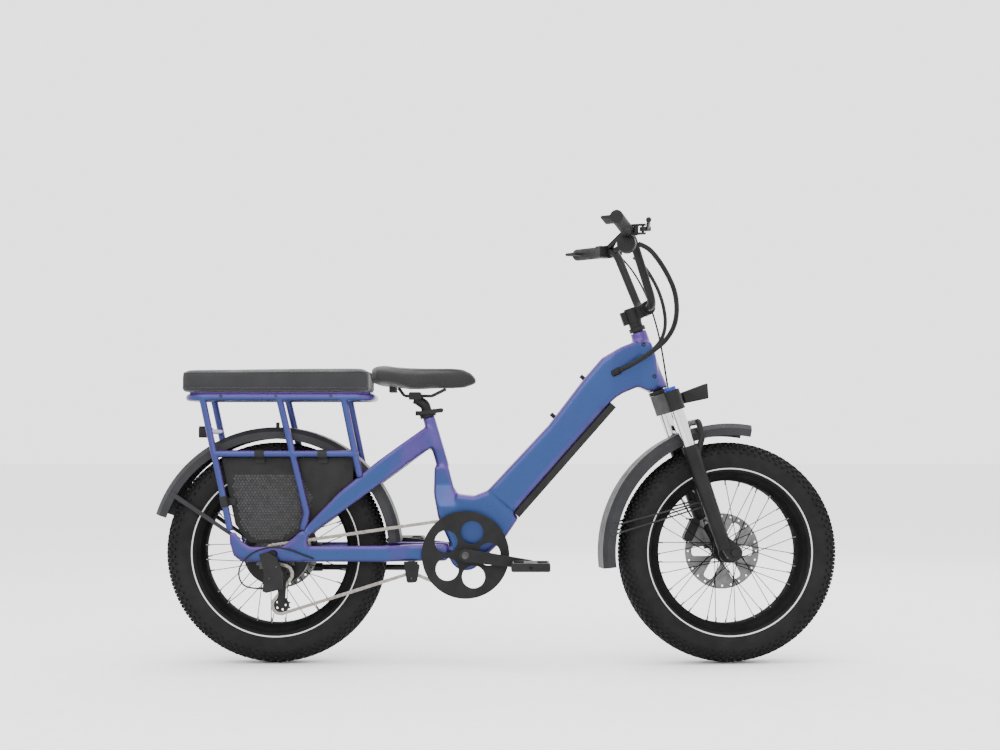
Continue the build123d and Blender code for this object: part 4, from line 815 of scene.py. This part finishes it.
socket_head = stack_shape("socket_head", [(4.2, -1), (4.2, 2.2), (3.8, 3.0), (2.2, 3.0), (2.0, 1.0)])
small_head = stack_shape("small_head", [(2.6, -1), (2.6, 1.2), (2.2, 1.9), (1.2, 1.9), (1.0, 0.9)], 12)
nipple = stack_shape("nipple", [(2.6, -1), (2.4, 3), (1.9, 9), (1.4, 13)], 10)
print("templates", [piece.name for piece in templates])

# %% [markdown]
# ## Tyres
# A 20 x 4.0 balloon tyre: a round carcass, a square-shouldered tread of small blocks about
# 5 mm high, and lugs that reach down the shoulder. The carcass is one smooth profile spun
# about the axle. The blocks are rings of copies, every other ring shifted by half a block,
# as on a real mould.

# %% Tyres
def rounded(points, passes=3):
    """A closed outline with its corners cut again and again until it is a smooth curve."""
    for _ in range(passes):
        cut = []
        for here, ahead in zip(points, points[1:] + points[:1]):
            cut.append(tuple(0.75 * a + 0.25 * b for a, b in zip(here, ahead)))
            cut.append(tuple(0.25 * a + 0.75 * b for a, b in zip(here, ahead)))
        points = cut
    return points


def spun(name, outline, steps=144):
    """A closed outline of (along, radius) spun round the Z axis into a ring."""
    bm = bmesh.new()
    rings = []
    for step in range(steps):
        turn = 2 * pi * step / steps
        rings.append([bm.verts.new((r * mm * cos(turn), r * mm * sin(turn), z * mm)) for z, r in outline])
    count = len(outline)
    for step in range(steps):
        here, ahead = rings[step], rings[(step + 1) % steps]
        for index in range(count):
            after = (index + 1) % count
            bm.faces.new((here[index], here[after], ahead[after], ahead[index]))
    bmesh.ops.recalc_face_normals(bm, faces=bm.faces)
    mesh = bpy.data.meshes.new(name)
    bm.to_mesh(mesh)
    bm.free()
    mesh.shade_smooth()
    return mesh


straight = Matrix.Identity(3)
upright = Matrix(((1, 0, 0), (0, 0, -1), (0, 1, 0)))  # a drawing's x forward, y up, z towards the drive side


def wheel_place(axle, turn):
    """The turn and move that bring a shape drawn round Z to a wheel or sprocket."""
    return Matrix.Translation(axle) @ (turn @ upright).to_4x4()


def joined(name, meshes):
    """Several meshes as one, each with its material kept."""
    parts = [add_piece(name, mesh) for mesh in meshes]
    with bpy.context.temp_override(active_object=parts[0], selected_editable_objects=parts):
        bpy.ops.object.join()
    mesh = parts[0].data
    bpy.data.objects.remove(parts[0])
    return mesh


tyre_outline = [
    (35, 203), (36, 211), (44, 219), (49, 236), (50, 254), (47, 268), (38, 280), (22, 286.5), (0, 288.5),
    (-22, 286.5), (-38, 280), (-47, 268), (-50, 254), (-49, 236), (-44, 219), (-36, 211), (-35, 203),
    (-30, 203), (-40, 225), (-44, 254), (-36, 274), (0, 282), (36, 274), (44, 254), (40, 225), (30, 203),
]
# ring: distance from the middle, radius, block size outward, round, across, tilt, half-block shift
tread_rings = [
    (0, 290.0, (6, 11, 9), 0, 0.0), (13, 289.6, (6, 10, 9), 3, 0.5), (26, 287.4, (7, 11, 9), 12, 0.0),
    (37, 283.6, (8, 9, 8), 32, 0.5), (44.4, 276.5, (9, 8, 7), 52, 0.0), (48.2, 265.5, (12, 7, 4.5), 76, 0.5),
]
tread_count = 84


def tread(spot, radius, size, tilt, shift, finish):
    """One ring of tread blocks, tilted to face along the carcass's own outward."""
    block = bar_shape("tread_block", (size[0], size[1], size[2]), 0.8, 0.86)
    block.data.transform(Matrix.Rotation(radians(-tilt), 4, "Y"))
    base = add_piece("tread_base", bpy.data.meshes.new("tread_base"))
    mesh = grown(
        base, ring_copies, {"Shape": block, "Count": tread_count, "Radius": radius * mm, "Finish": finish},
    )
    turn = 2 * pi * shift / tread_count
    mesh.transform(Matrix.Translation((0, 0, spot * mm)) @ Matrix.Rotation(turn, 4, "Z"))
    return mesh


def tyre(node, axle, turn, finish):
    """Carcass and tread of one wheel."""
    name = node + "_moulded"
    carcass = spun(name, rounded(tyre_outline, 2))
    carcass.materials.append(finish)
    meshes = [carcass]
    for spot, radius, size, tilt, shift in tread_rings:
        for way in ((1, -1) if spot else (1,)):
            meshes.append(tread(way * spot, radius - 2, size, way * tilt, shift, finish))
    mesh = joined(name, meshes)
    mesh.transform(wheel_place(axle, turn))
    settle(add_piece(name, mesh), body_with(node), "tyre_rubber", node)


tyre("front_tyre", front_axle, parked, front_tyre_rubber)
tyre("rear_tyre", rear_axle, straight, rear_tyre_rubber)

# %% [markdown]
# ## Nipples, valves and teeth
# Each spoke ends in a small brass-cored nipple in the rim, and each tube has one valve.
# The sprockets' CAD discs stop short of their teeth, so a ring of teeth goes round each.
# All of them are rings of copies, drawn round Z and then stood up at their axle.

# %% Nipples, valves and teeth
spoke_groups = 9
spoke_spread = 2 * pi / spoke_groups


def ring(shape, count, radius, spot=0.0, turn=0.0, finish=satin_black):
    """Copies round Z at a distance along it, turned by an angle."""
    base = add_piece("ring_base", bpy.data.meshes.new("ring_base"))
    mesh = grown(base, ring_copies, {"Shape": shape, "Count": count, "Radius": radius * mm, "Finish": finish})
    mesh.transform(Matrix.Translation((0, 0, spot * mm)) @ Matrix.Rotation(turn, 4, "Z"))
    return mesh


nipple.data.transform(Matrix.Rotation(-pi / 2, 4, "Y"))
valve_steps = [(3.2, -2), (3.2, 26), (2.4, 26), (2.4, 34), (4.0, 34), (4.0, 44), (3.0, 46)]
valve = stack_shape("valve", valve_steps, 12)
valve.data.transform(Matrix.Rotation(-pi / 2, 4, "Y"))


def rim_fittings(name, body, axle, turn, lace):
    """Thirty-six nipples and a valve inside a rim."""
    meshes = []
    for way_y, phase in ((-1, 0.0), (1, spoke_spread / 4)):
        for way in (-1, 1):
            angle = phase + way * (radians(lace) + spoke_spread / 8)
            meshes.append(ring(nipple, spoke_groups, 190.0, -way_y * (15 + way * 1.7), angle, bright_steel))
    meshes.append(ring(valve, 1, 190.0, 0.0, radians(-38), satin_black))
    mesh = joined(name, meshes)
    mesh.transform(wheel_place(axle, turn))
    settle(add_piece(name, mesh), body, "black_metal")


def toothed(name, body, slot, axle, rings, finish):
    """Teeth for sprockets given as (tooth count, place across)."""
    meshes = []
    for count, y in rings:
        radius = chain_pitch / 2 / sin(pi / count)
        tooth = bar_shape("tooth", (6.0, 6.4, 2.0), 0.0, 0.45)
        meshes.append(ring(tooth, count, radius - 0.2, -y, pi / count, finish))
    mesh = joined(name, meshes)
    mesh.transform(wheel_place(axle, straight))
    settle(add_piece(name, mesh), body, slot)


chain_pitch = 12.7
chain_y = 72.0
guide_pulley_at, tension_pulley_at = at(25, 0, 240), at(19, 0, 159)
rim_fittings("front_rim_fittings", "front_wheel", front_axle, parked, 47.0)
rim_fittings("rear_rim_fittings", "rear_wheel", rear_axle, straight, 9.0)
toothed("chainring_teeth", "crankset", "black_plastic", crank_axle, [(48, -chain_y)], dark_steel)
cassette_teeth = [(count, -chain_y + 5.0 * place) for place, count in enumerate((11, 13, 15, 18, 21, 24, 28))]
toothed("cassette_teeth", "cassette", "steel", rear_axle, cassette_teeth, dark_steel)
for pulley, place in (("guide_pulley", guide_pulley_at), ("tension_pulley", tension_pulley_at)):
    toothed(pulley + "_teeth", pulley, "black_plastic", place, [(11, -chain_y)], moulded_black)

# %% [markdown]
# ## Chain
# A bicycle chain is outer and inner links in turn, 12.7 mm apart, so the path tree sets
# two shapes on even and odd points. The path is worked out as the chain's own: straight
# runs tangent to each wheel, and arcs round it.

# %% Chain
def link_shape(name, plate_y, plate_thick, pin_y):
    """Two stadium plates and two pins of one link, along X."""
    bm = bmesh.new()
    half, round_radius, corners = chain_pitch / 2, 4.1, 5
    for side in (-1, 1):
        outline = []
        for end, first in ((1, -pi / 2), (-1, pi / 2)):
            for step in range(corners + 1):
                turn = first + pi * step / corners
                outline.append((end * half + round_radius * cos(turn), round_radius * sin(turn)))
        low = [bm.verts.new(Vector((x, side * plate_y, z)) * mm) for x, z in outline]
        high = [bm.verts.new(Vector((x, side * (plate_y + plate_thick), z)) * mm) for x, z in outline]
        bm.faces.new(low)
        bm.faces.new(high)
        for index in range(len(outline)):
            after = (index + 1) % len(outline)
            bm.faces.new((low[index], low[after], high[after], high[index]))
    for end in (-half, half):
        place = Matrix.Translation(Vector((end, 0, 0)) * mm) @ Matrix.Rotation(pi / 2, 4, "X")
        bmesh.ops.create_cone(
            bm, cap_ends=True, segments=8, radius1=2.6 * mm, radius2=2.6 * mm, depth=2 * pin_y * mm,
            matrix=place,
        )
    return template(name, bm)


def chain_path(wheels):
    """Points along a closed chain round wheels (x, z, pitch radius, way), seen from the drive side."""
    runs = []
    for here, ahead in zip(wheels, wheels[1:] + wheels[:1]):
        near, far = here[3] * here[2], ahead[3] * ahead[2]
        apart = hypot(ahead[0] - here[0], ahead[1] - here[1])
        heading = atan2(ahead[1] - here[1], ahead[0] - here[0]) + pi / 2 - acos((near - far) / apart)
        right = (sin(heading), -cos(heading))
        runs.append((
            (here[0] + near * right[0], here[1] + near * right[1]),
            (ahead[0] + far * right[0], ahead[1] + far * right[1]),
        ))
    points = []
    for index, (x, z, _, way) in enumerate(wheels):
        arrive, leave = runs[index - 1][1], runs[index][0]
        first = atan2(arrive[1] - z, arrive[0] - x)
        turn = way * ((way * (atan2(leave[1] - z, leave[0] - x) - first)) % (2 * pi))
        radius = hypot(arrive[0] - x, arrive[1] - z)
        steps = max(4, int(abs(turn) * radius / 3))
        for step in range(steps + 1):
            angle = first + turn * step / steps
            points.append((x + radius * cos(angle), z + radius * sin(angle)))
    return points


def path_curve(name, points, closed):
    """A curve of straight pieces through close points."""
    data = bpy.data.curves.new(name, "CURVE")
    data.dimensions = "3D"
    spline = data.splines.new("POLY")
    spline.points.add(len(points) - 1)
    for spot, point in zip(spline.points, points):
        spot.co = (*point, 1.0)
    spline.use_cyclic_u = closed
    curve = bpy.data.objects.new(name, data)
    scene.collection.objects.link(curve)
    return curve


def pitch_radius(teeth):
    """The radius at which a chain wraps a sprocket."""
    return chain_pitch / 2 / sin(pi / teeth)


wheels = [
    (501, 290, pitch_radius(48), 1), (0, 293, pitch_radius(11), 1), (25, 240, pitch_radius(11), -1),
    (19, 159, pitch_radius(11), 1), (360, 229, 13.5, -1),
]
flat_points = chain_path(wheels)
chain_length = sum(
    hypot(ahead[0] - here[0], ahead[1] - here[1])
    for here, ahead in zip(flat_points, flat_points[1:] + flat_points[:1])
)
link_count = 2 * round(chain_length / chain_pitch / 2)
chain_mesh = grown(
    path_curve("chain_path", [at(x, -chain_y, z) for x, z in flat_points], True), flat_path_copies,
    {"Even shape": link_shape("outer_link", 2.6, 1.0, 3.9),
     "Odd shape": link_shape("inner_link", 1.5, 1.0, 2.4), "Count": link_count, "Finish": chain_steel},
)
settle(add_piece("chain_links", chain_mesh), "frame", "steel", "chain")
print("links", link_count, "on", round(chain_length), "mm")

# %% [markdown]
# ## Cushions
# The saddle and the passenger pad are foam in a tight cover. Both start as plain closed
# forms, a little small. Remeshing gives even cells, a short cloth simulation with pressure
# inside swells the cover as foam does, and the swelling is capped so that the cushion
# keeps its size. The bottom is then pressed flat where it rests.

# %% Swelling a cover
def swollen(name, mesh, voxel, cap, rest_height=None):
    """A closed form swelled by cloth pressure, then smoothed once."""
    piece = add_piece(name, mesh)
    remesh = piece.modifiers.new("even", "REMESH")
    remesh.mode = "VOXEL"
    remesh.voxel_size = voxel * mm
    depsgraph = bpy.context.evaluated_depsgraph_get()
    even = bpy.data.meshes.new_from_object(piece.evaluated_get(depsgraph), depsgraph=depsgraph)
    piece.modifiers.clear()
    piece.data = even
    start = [vertex.co.copy() for vertex in even.vertices]
    cloth = piece.modifiers.new("cover", "CLOTH")
    cloth.settings.use_pressure = True
    cloth.settings.uniform_pressure_force = 4.0
    cloth.settings.effector_weights.gravity = 0.0
    cloth.settings.tension_stiffness = cloth.settings.compression_stiffness = 25.0
    cloth.settings.bending_stiffness = 2.0
    for step in range(1, 21):
        scene.frame_set(step)
    depsgraph = bpy.context.evaluated_depsgraph_get()
    swelled = [vertex.co.copy() for vertex in piece.evaluated_get(depsgraph).data.vertices]
    piece.modifiers.clear()
    scene.frame_set(1)
    middle = (sum(swelled, Vector()) - sum(start, Vector())) / len(start)
    for vertex, before, after in zip(even.vertices, start, swelled):
        moved = after - middle - before
        if moved.length > cap * mm:
            moved *= cap * mm / moved.length
        vertex.co = before + moved
    if rest_height is not None:
        for vertex in even.vertices:
            vertex.co.z = max(vertex.co.z, rest_height * mm)
    smooth = piece.modifiers.new("finer", "SUBSURF")
    smooth.levels = smooth.render_levels = 1
    depsgraph = bpy.context.evaluated_depsgraph_get()
    fine = bpy.data.meshes.new_from_object(piece.evaluated_get(depsgraph), depsgraph=depsgraph)
    bpy.data.objects.remove(piece)
    fine.shade_smooth()
    return fine


def lofted(name, sections):
    """A closed form through rings of points, with its two ends capped."""
    bm = bmesh.new()
    rings = [[bm.verts.new(point) for point in section] for section in sections]
    bm.faces.new(rings[0])
    bm.faces.new(rings[-1])
    for low, high in zip(rings, rings[1:]):
        for index in range(len(low)):
            after = (index + 1) % len(low)
            bm.faces.new((low[index], low[after], high[after], high[index]))
    bmesh.ops.recalc_face_normals(bm, faces=bm.faces)
    mesh = bpy.data.meshes.new(name)
    bm.to_mesh(mesh)
    bm.free()
    return mesh


# %% [markdown]
# ## Saddle
# A wide comfort saddle: broad and high at the back, waisted, with a rounded drooping nose.
# Each cross-section is a soft-cornered box (a superellipse), and thirteen of them give the
# form. The widths and heights are set back 2 mm to leave room for the swelling.

# %% Saddle
# distance forward, half width, top, bottom
saddle_sections = [
    (251, 34, 780, 744), (256, 58, 783, 741), (266, 78, 785, 738), (288, 91, 783, 736), (318, 88, 779, 733),
    (350, 74, 777, 729), (385, 54, 776, 729), (420, 38, 776, 731), (460, 28, 776, 731), (498, 23, 774, 733),
    (516, 19, 767, 736), (524, 14, 759, 739), (529, 8, 752, 742),
]


def soft_box_section(x, half, top, low, power, steps=32):
    """A soft-cornered cross-section at a distance forward."""
    middle, tall = (top + low) / 2, (top - low) / 2
    ring_points = []
    for step in range(steps):
        turn = 2 * pi * step / steps
        y = abs(cos(turn)) ** (2 / power) * (1 if cos(turn) >= 0 else -1)
        z = abs(sin(turn)) ** (2 / power) * (1 if sin(turn) >= 0 else -1)
        ring_points.append(at(x, half * y, middle + tall * z))
    return ring_points


saddle_form = lofted("saddle_form", [soft_box_section(*station, 2.9) for station in saddle_sections])
saddle_mesh = swollen("saddle_swelling", saddle_form, 4.5, 4.0)
saddle = add_piece("saddle_padded", saddle_mesh, saddle_cover)
settle(saddle, "seat", "saddle_cover", "saddle")

# %% [markdown]
# ## Passenger pad
# A long foam slab, 190 mm wide, on the rack's deck. Its form is again a loft of soft boxes
# along its length, with squarer corners, so that the cover pulls in a little between them.

# %% Passenger pad
pad_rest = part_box("rack_pad")[0].z / mm
# distance forward, half width, top
pad_sections = [
    (-240, 86, 764), (-237, 91, 768), (-228, 93, 770), (-120, 93, 771), (10, 93, 773), (140, 93, 774),
    (236, 93, 774), (248, 91, 772), (254, 86, 766),
]
pad_form = lofted("pad_form", [soft_box_section(*station, pad_rest, 8.0, 48) for station in pad_sections])
pad_mesh = swollen("pad_swelling", pad_form, 6.0, 4.0, pad_rest)
pad = add_piece("rack_pad_padded", pad_mesh, pad_cloth)
settle(pad, "frame", "pad_cover", "rack_pad")

# %% [markdown]
# ## Seams
# The cover of the passenger pad is sewn with a round piping along its upper edge, and the
# saddle has a line of stitches down each flank. Both are set on the swelled skin: each
# point of a plain outline is moved to the nearest point of the cushion.

# %% Seams
def skin_of(mesh):
    """A mesh's faces, ready to be searched for the nearest point."""
    points = [vertex.co for vertex in mesh.vertices]
    return BVHTree.FromPolygons(points, [tuple(face.vertices) for face in mesh.polygons])


def pressed_on(mesh, points, out):
    """The points moved to a cushion's skin, standing out of it by a little."""
    skin = skin_of(mesh)
    placed = []
    for point in points:
        spot, normal = skin.find_nearest(point)[:2]
        placed.append(spot + normal * out * mm)
    return placed


def soft_rectangle(low, high, half, z, corner, steps=8):
    """A closed outline with round corners, evenly pointed along its sides."""
    corners = ((high - corner, half - corner), (low + corner, half - corner),
               (low + corner, corner - half), (high - corner, corner - half))
    points = []
    for index, (x, y) in enumerate(corners):
        for step in range(steps + 1):
            turn = (index + step / steps) * pi / 2
            points.append((x + corner * cos(turn), y + corner * sin(turn)))
    spaced = []
    for here, ahead in zip(points, points[1:] + points[:1]):
        parts = max(1, int(hypot(ahead[0] - here[0], ahead[1] - here[1]) / 8))
        for part in range(parts):
            share = part / parts
            x, y = (a + (b - a) * share for a, b in zip(here, ahead))
            spaced.append(at(x, y, z))
    return spaced


def piping(name, mesh, outline, radius, finish, slot):
    """A round cord sewn along an outline of a cushion."""
    curve = path_curve(name, pressed_on(mesh, outline, 0.2), True)
    curve.data.bevel_depth = radius * mm
    curve.data.bevel_resolution = 2
    depsgraph = bpy.context.evaluated_depsgraph_get()
    tube = bpy.data.meshes.new_from_object(curve.evaluated_get(depsgraph), depsgraph=depsgraph)
    bpy.data.objects.remove(curve)
    tube.shade_smooth()
    return settle(add_piece(name, tube, finish), "frame", slot)


piping("pad_piping", pad.data, soft_rectangle(-242, 258, 95, 772, 14), 1.5, pad_cloth, "pad_cover")
piping("pad_lower_piping", pad.data, soft_rectangle(-243, 259, 96, 724, 12), 1.2, pad_cloth, "pad_cover")
stitch = bar_shape("stitch", (3.4, 1.0, 1.0), 0.3)
stitch_lines = []
for side in (-1, 1):
    flank = [at(x, side * half * 0.8, top + 6) for x, half, top, _ in saddle_sections[2:-2]]
    line = path_curve("stitch_line", pressed_on(saddle.data, flank, 0.1), False)
    stitch_lines.append(grown(
        line, free_path_copies, {"Even shape": stitch, "Odd shape": stitch, "Count": 58, "Finish": thread},
    ))
settle(add_piece("saddle_stitches", joined("saddle_stitches", stitch_lines)), "seat", "saddle_cover")

# %% [markdown]
# ## Perforated guards
# The panels beside the rear wheel are sheets with a punched window. Each hole has a small
# raised rim, and the holes sit on a hexagonal grid inside a plain border. The holes are closed
# dishes in a lighter grey, a painted glint that stands for light seen through the mesh.

# %% Perforated guards
guard_window = [
    (-104, 498), (-108, 470), (-88, 372), (-66, 342), (-50, 333), (22, 333), (62, 362), (92, 396), (98, 440),
    (80, 478), (48, 500),
]
rim_of_hole = stack_shape("rim_of_hole", [(3.9, -0.2), (3.7, 0.8), (3.0, 0.8), (2.7, 0.15)], 6)


def inside(x, z, outline):
    """Whether a point lies inside an outline."""
    hits = 0
    for (ax, az), (bx, bz) in zip(outline, outline[1:] + outline[:1]):
        if (az > z) != (bz > z) and x < ax + (z - az) / (bz - az) * (bx - ax):
            hits += 1
    return hits % 2 == 1


def copies_on(name, shape, finish, places):
    """Copies of a shape on (point, direction) pairs."""
    mesh = bpy.data.meshes.new(name)
    mesh.from_pydata([point for point, _ in places], [], [])
    facing = mesh.attributes.new("facing", "FLOAT_VECTOR", "POINT")
    facing.data.foreach_set("vector", [value for _, way in places for value in way])
    return grown(add_piece(name, mesh), spot_copies, {"Shape": shape, "Finish": finish})


guard_pitch, guard_face = 8.2, 67.5
holes = []
for row in range(26):
    for column in range(40):
        x = -140 + (column + 0.5 * (row % 2)) * guard_pitch
        z = 326 + row * guard_pitch * 0.866
        if inside(x, z, guard_window):
            holes += [(at(x, side * guard_face, z), (0, side, 0)) for side in (-1, 1)]
# the dishes take the lighter grey of the painted glint
guard_mesh = copies_on("guard_holes", rim_of_hole, mesh_painted_glint, holes)
settle(add_piece("guard_holes", guard_mesh), "frame", "guard_mesh")
print("holes", len(holes))

# %% [markdown]
# ## Screws and inserts
# Small fasteners are copies on marked spots, one piece for each body that carries them:
# threaded inserts in the head tube, bolts that hold the deck, caps on the crank and the
# bolts of both brake discs.

# %% Screws and inserts
insert = stack_shape("insert", [(5.6, -3), (5.6, 0.8), (5.0, 1.3), (2.7, 1.3), (2.5, -2)], 16)
crank_cap = stack_shape("crank_cap", [(10, -1), (10, 1.4), (8.5, 2.4), (4.5, 2.4), (4.2, 0.4)], 20)


def beside(spots, y, ways=(-1, 1)):
    """Points at a distance to both sides of the bicycle, facing outward."""
    return [(at(x, way * y, z), (0, way, 0)) for x, z in spots for way in ways]


def fasteners(name, body, slot, groups):
    """All of one body's small fasteners as one piece."""
    meshes = [copies_on(name, shape, finish, places) for shape, finish, places in groups]
    settle(add_piece(name, joined(name, meshes)), body, slot)


boss_spots = [(1158.4 - 0.3239 * height, 293 + 0.9461 * height) for height in (492, 581)]
fasteners("frame_fasteners", "frame", "black_metal", [
    (insert, satin_black, beside(boss_spots, 29.6)),
    (socket_head, dark_steel, beside([(-136, 705), (151, 705), (8, 705)], 93.0)),
    (small_head, dark_steel, [(at(x, -114.0, z), (0, -1, 0)) for x, z in ((12, 262), (-6, 232))]),
    (small_head, dark_steel, [(at(360, -79.5, 229), (0, -1, 0))]),
])
fasteners("crank_fasteners", "crankset", "black_metal", [(crank_cap, dark_steel, beside([(501, 290)], 98.0))])
for name, body, axle, turn, face in (
    ("front_disc_bolts", "front_wheel", front_axle, parked, 51.0),
    ("rear_disc_bolts", "rear_wheel", rear_axle, straight, 61.0),
):
    bolts = [
        (Vector((17 * cos(k * pi / 3), 17 * sin(k * pi / 3), -face)) * mm, (0, 0, -1)) for k in range(6)
    ]
    bolt_mesh = copies_on(name, small_head, bright_steel, bolts)
    bolt_mesh.transform(wheel_place(axle, turn))
    settle(add_piece(name, bolt_mesh), body, "black_metal")

# %% [markdown]
# ## Cables
# Two braided harnesses run from the levers to the frame's grommets, a brake hose goes down
# to the front caliper, and one housing curls round to the derailleur. Each is one NURBS
# curve through listed points, the same ones as the CAD's. The line without thickness is
# made but not used; the same curve with a bevel gives the tube. What crosses the steering
# is attached to no body, so it does not bend as the bar turns; the shift housing rides on
# the frame.

# %% Cables
def grommet(side, reach):
    """A point on the line by which a harness leaves the down tube."""
    along = Vector((0.82, side * 0.42, 0.38)).normalized()
    return (893 + along.x * reach, side * 41 + along.y * reach, 767 + along.z * reach)


harness_right_route = [
    (944, -176, 1090), (966, -172, 1084), (992, -162, 1058), (1019, -148, 1020), (1042, -130, 976),
    (1050, -112, 930), (1046, -94, 888), (1026, -78, 852), (996, -70, 826), (960, -66, 802),
    grommet(-1, 40), grommet(-1, 16.05),
]
harness_left_route = [
    (962, 178, 1096), (986, 168, 1076), (1008, 152, 1040), (1028, 132, 996), (1040, 112, 946),
    (1042, 94, 898), (1028, 80, 858), (998, 70, 828), (962, 66, 804), grommet(1, 40), grommet(1, 16.05),
]
hose_route = [
    (52, 176, 850), (70, 170, 812), (82, 158, 760), (86, 142, 700), (82, 126, 640), (74, 112, 580),
    (62, 102, 520), (50, 98, 460), (44, 100, 410), (34, 106, 360), (18, 111, 310), (2, 111, 260),
    (-12, 104, 215), (-19, 90, 172), (-18, 71, 134), (-13, 59, 100.5),
]
housing_route = [
    (106, -90.1, 281), (80, -98, 291), (48, -105, 305), (8, -110, 314), (-34, -112, 307), (-68, -113, 286),
    (-88, -113, 252), (-80, -112, 218), (-56, -110, 206), (-34.05, -110, 206),
]


def nurbs(name, points, radius=0.0):
    """A smooth curve whose control points are the route's, with a round bevel."""
    data = bpy.data.curves.new(name, "CURVE")
    data.dimensions = "3D"
    spline = data.splines.new("NURBS")
    spline.points.add(len(points) - 1)
    for spot, point in zip(spline.points, points):
        spot.co = (*point, 1.0)
    spline.order_u = 3
    spline.use_endpoint_u = True
    spline.resolution_u = 8
    data.bevel_depth = radius * mm
    data.bevel_resolution = 4
    data.use_fill_caps = radius > 0
    curve = bpy.data.objects.new(name, data)
    scene.collection.objects.link(curve)
    return curve


def curve_mesh(curve):
    """A curve as a plain mesh; the curve is removed."""
    depsgraph = bpy.context.evaluated_depsgraph_get()
    mesh = bpy.data.meshes.new_from_object(curve.evaluated_get(depsgraph), depsgraph=depsgraph)
    bpy.data.objects.remove(curve)
    return mesh


def cable(name, node, points, radius, finish, bodies, bend=None):
    """A free cable that rides on bodies[0]; when bend is given it rides on no body and does not bend."""
    line = [vertex.co.copy() for vertex in curve_mesh(nurbs(name + "_line", points)).vertices]
    mesh = curve_mesh(nurbs(name + "_tube", points, radius))
    mesh.shade_smooth()
    piece = add_piece(name, mesh, finish)
    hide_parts(node)
    if bend:
        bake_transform(piece)
    else:
        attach(piece, bodies[0])


cable(
    "harness_right_sleeve", "harness_right", [at(*point) for point in harness_right_route], 6.5,
    braided_sleeve, ("steering", "frame"), (at(1010, -150, 1030), at(960, -66, 802)),
)
cable(
    "harness_left_sleeve", "harness_left", [at(*point) for point in harness_left_route], 5.0, braided_sleeve,
    ("steering", "frame"), (at(1010, 150, 1030), at(960, 66, 802)),
)
cable(
    "front_brake_hose", "brake_hose", [steer(*point) for point in hose_route], 2.5, cable_jacket,
    ("steering", "fork_lowers"), (steer(80, 120, 560), steer(10, 108, 230)),
)
cable(
    "shift_housing", "derailleur_housing", [at(*point) for point in housing_route], 2.2, cable_jacket,
    ("frame",),
)

# %% Finish
for piece in templates:
    bpy.data.objects.remove(piece)
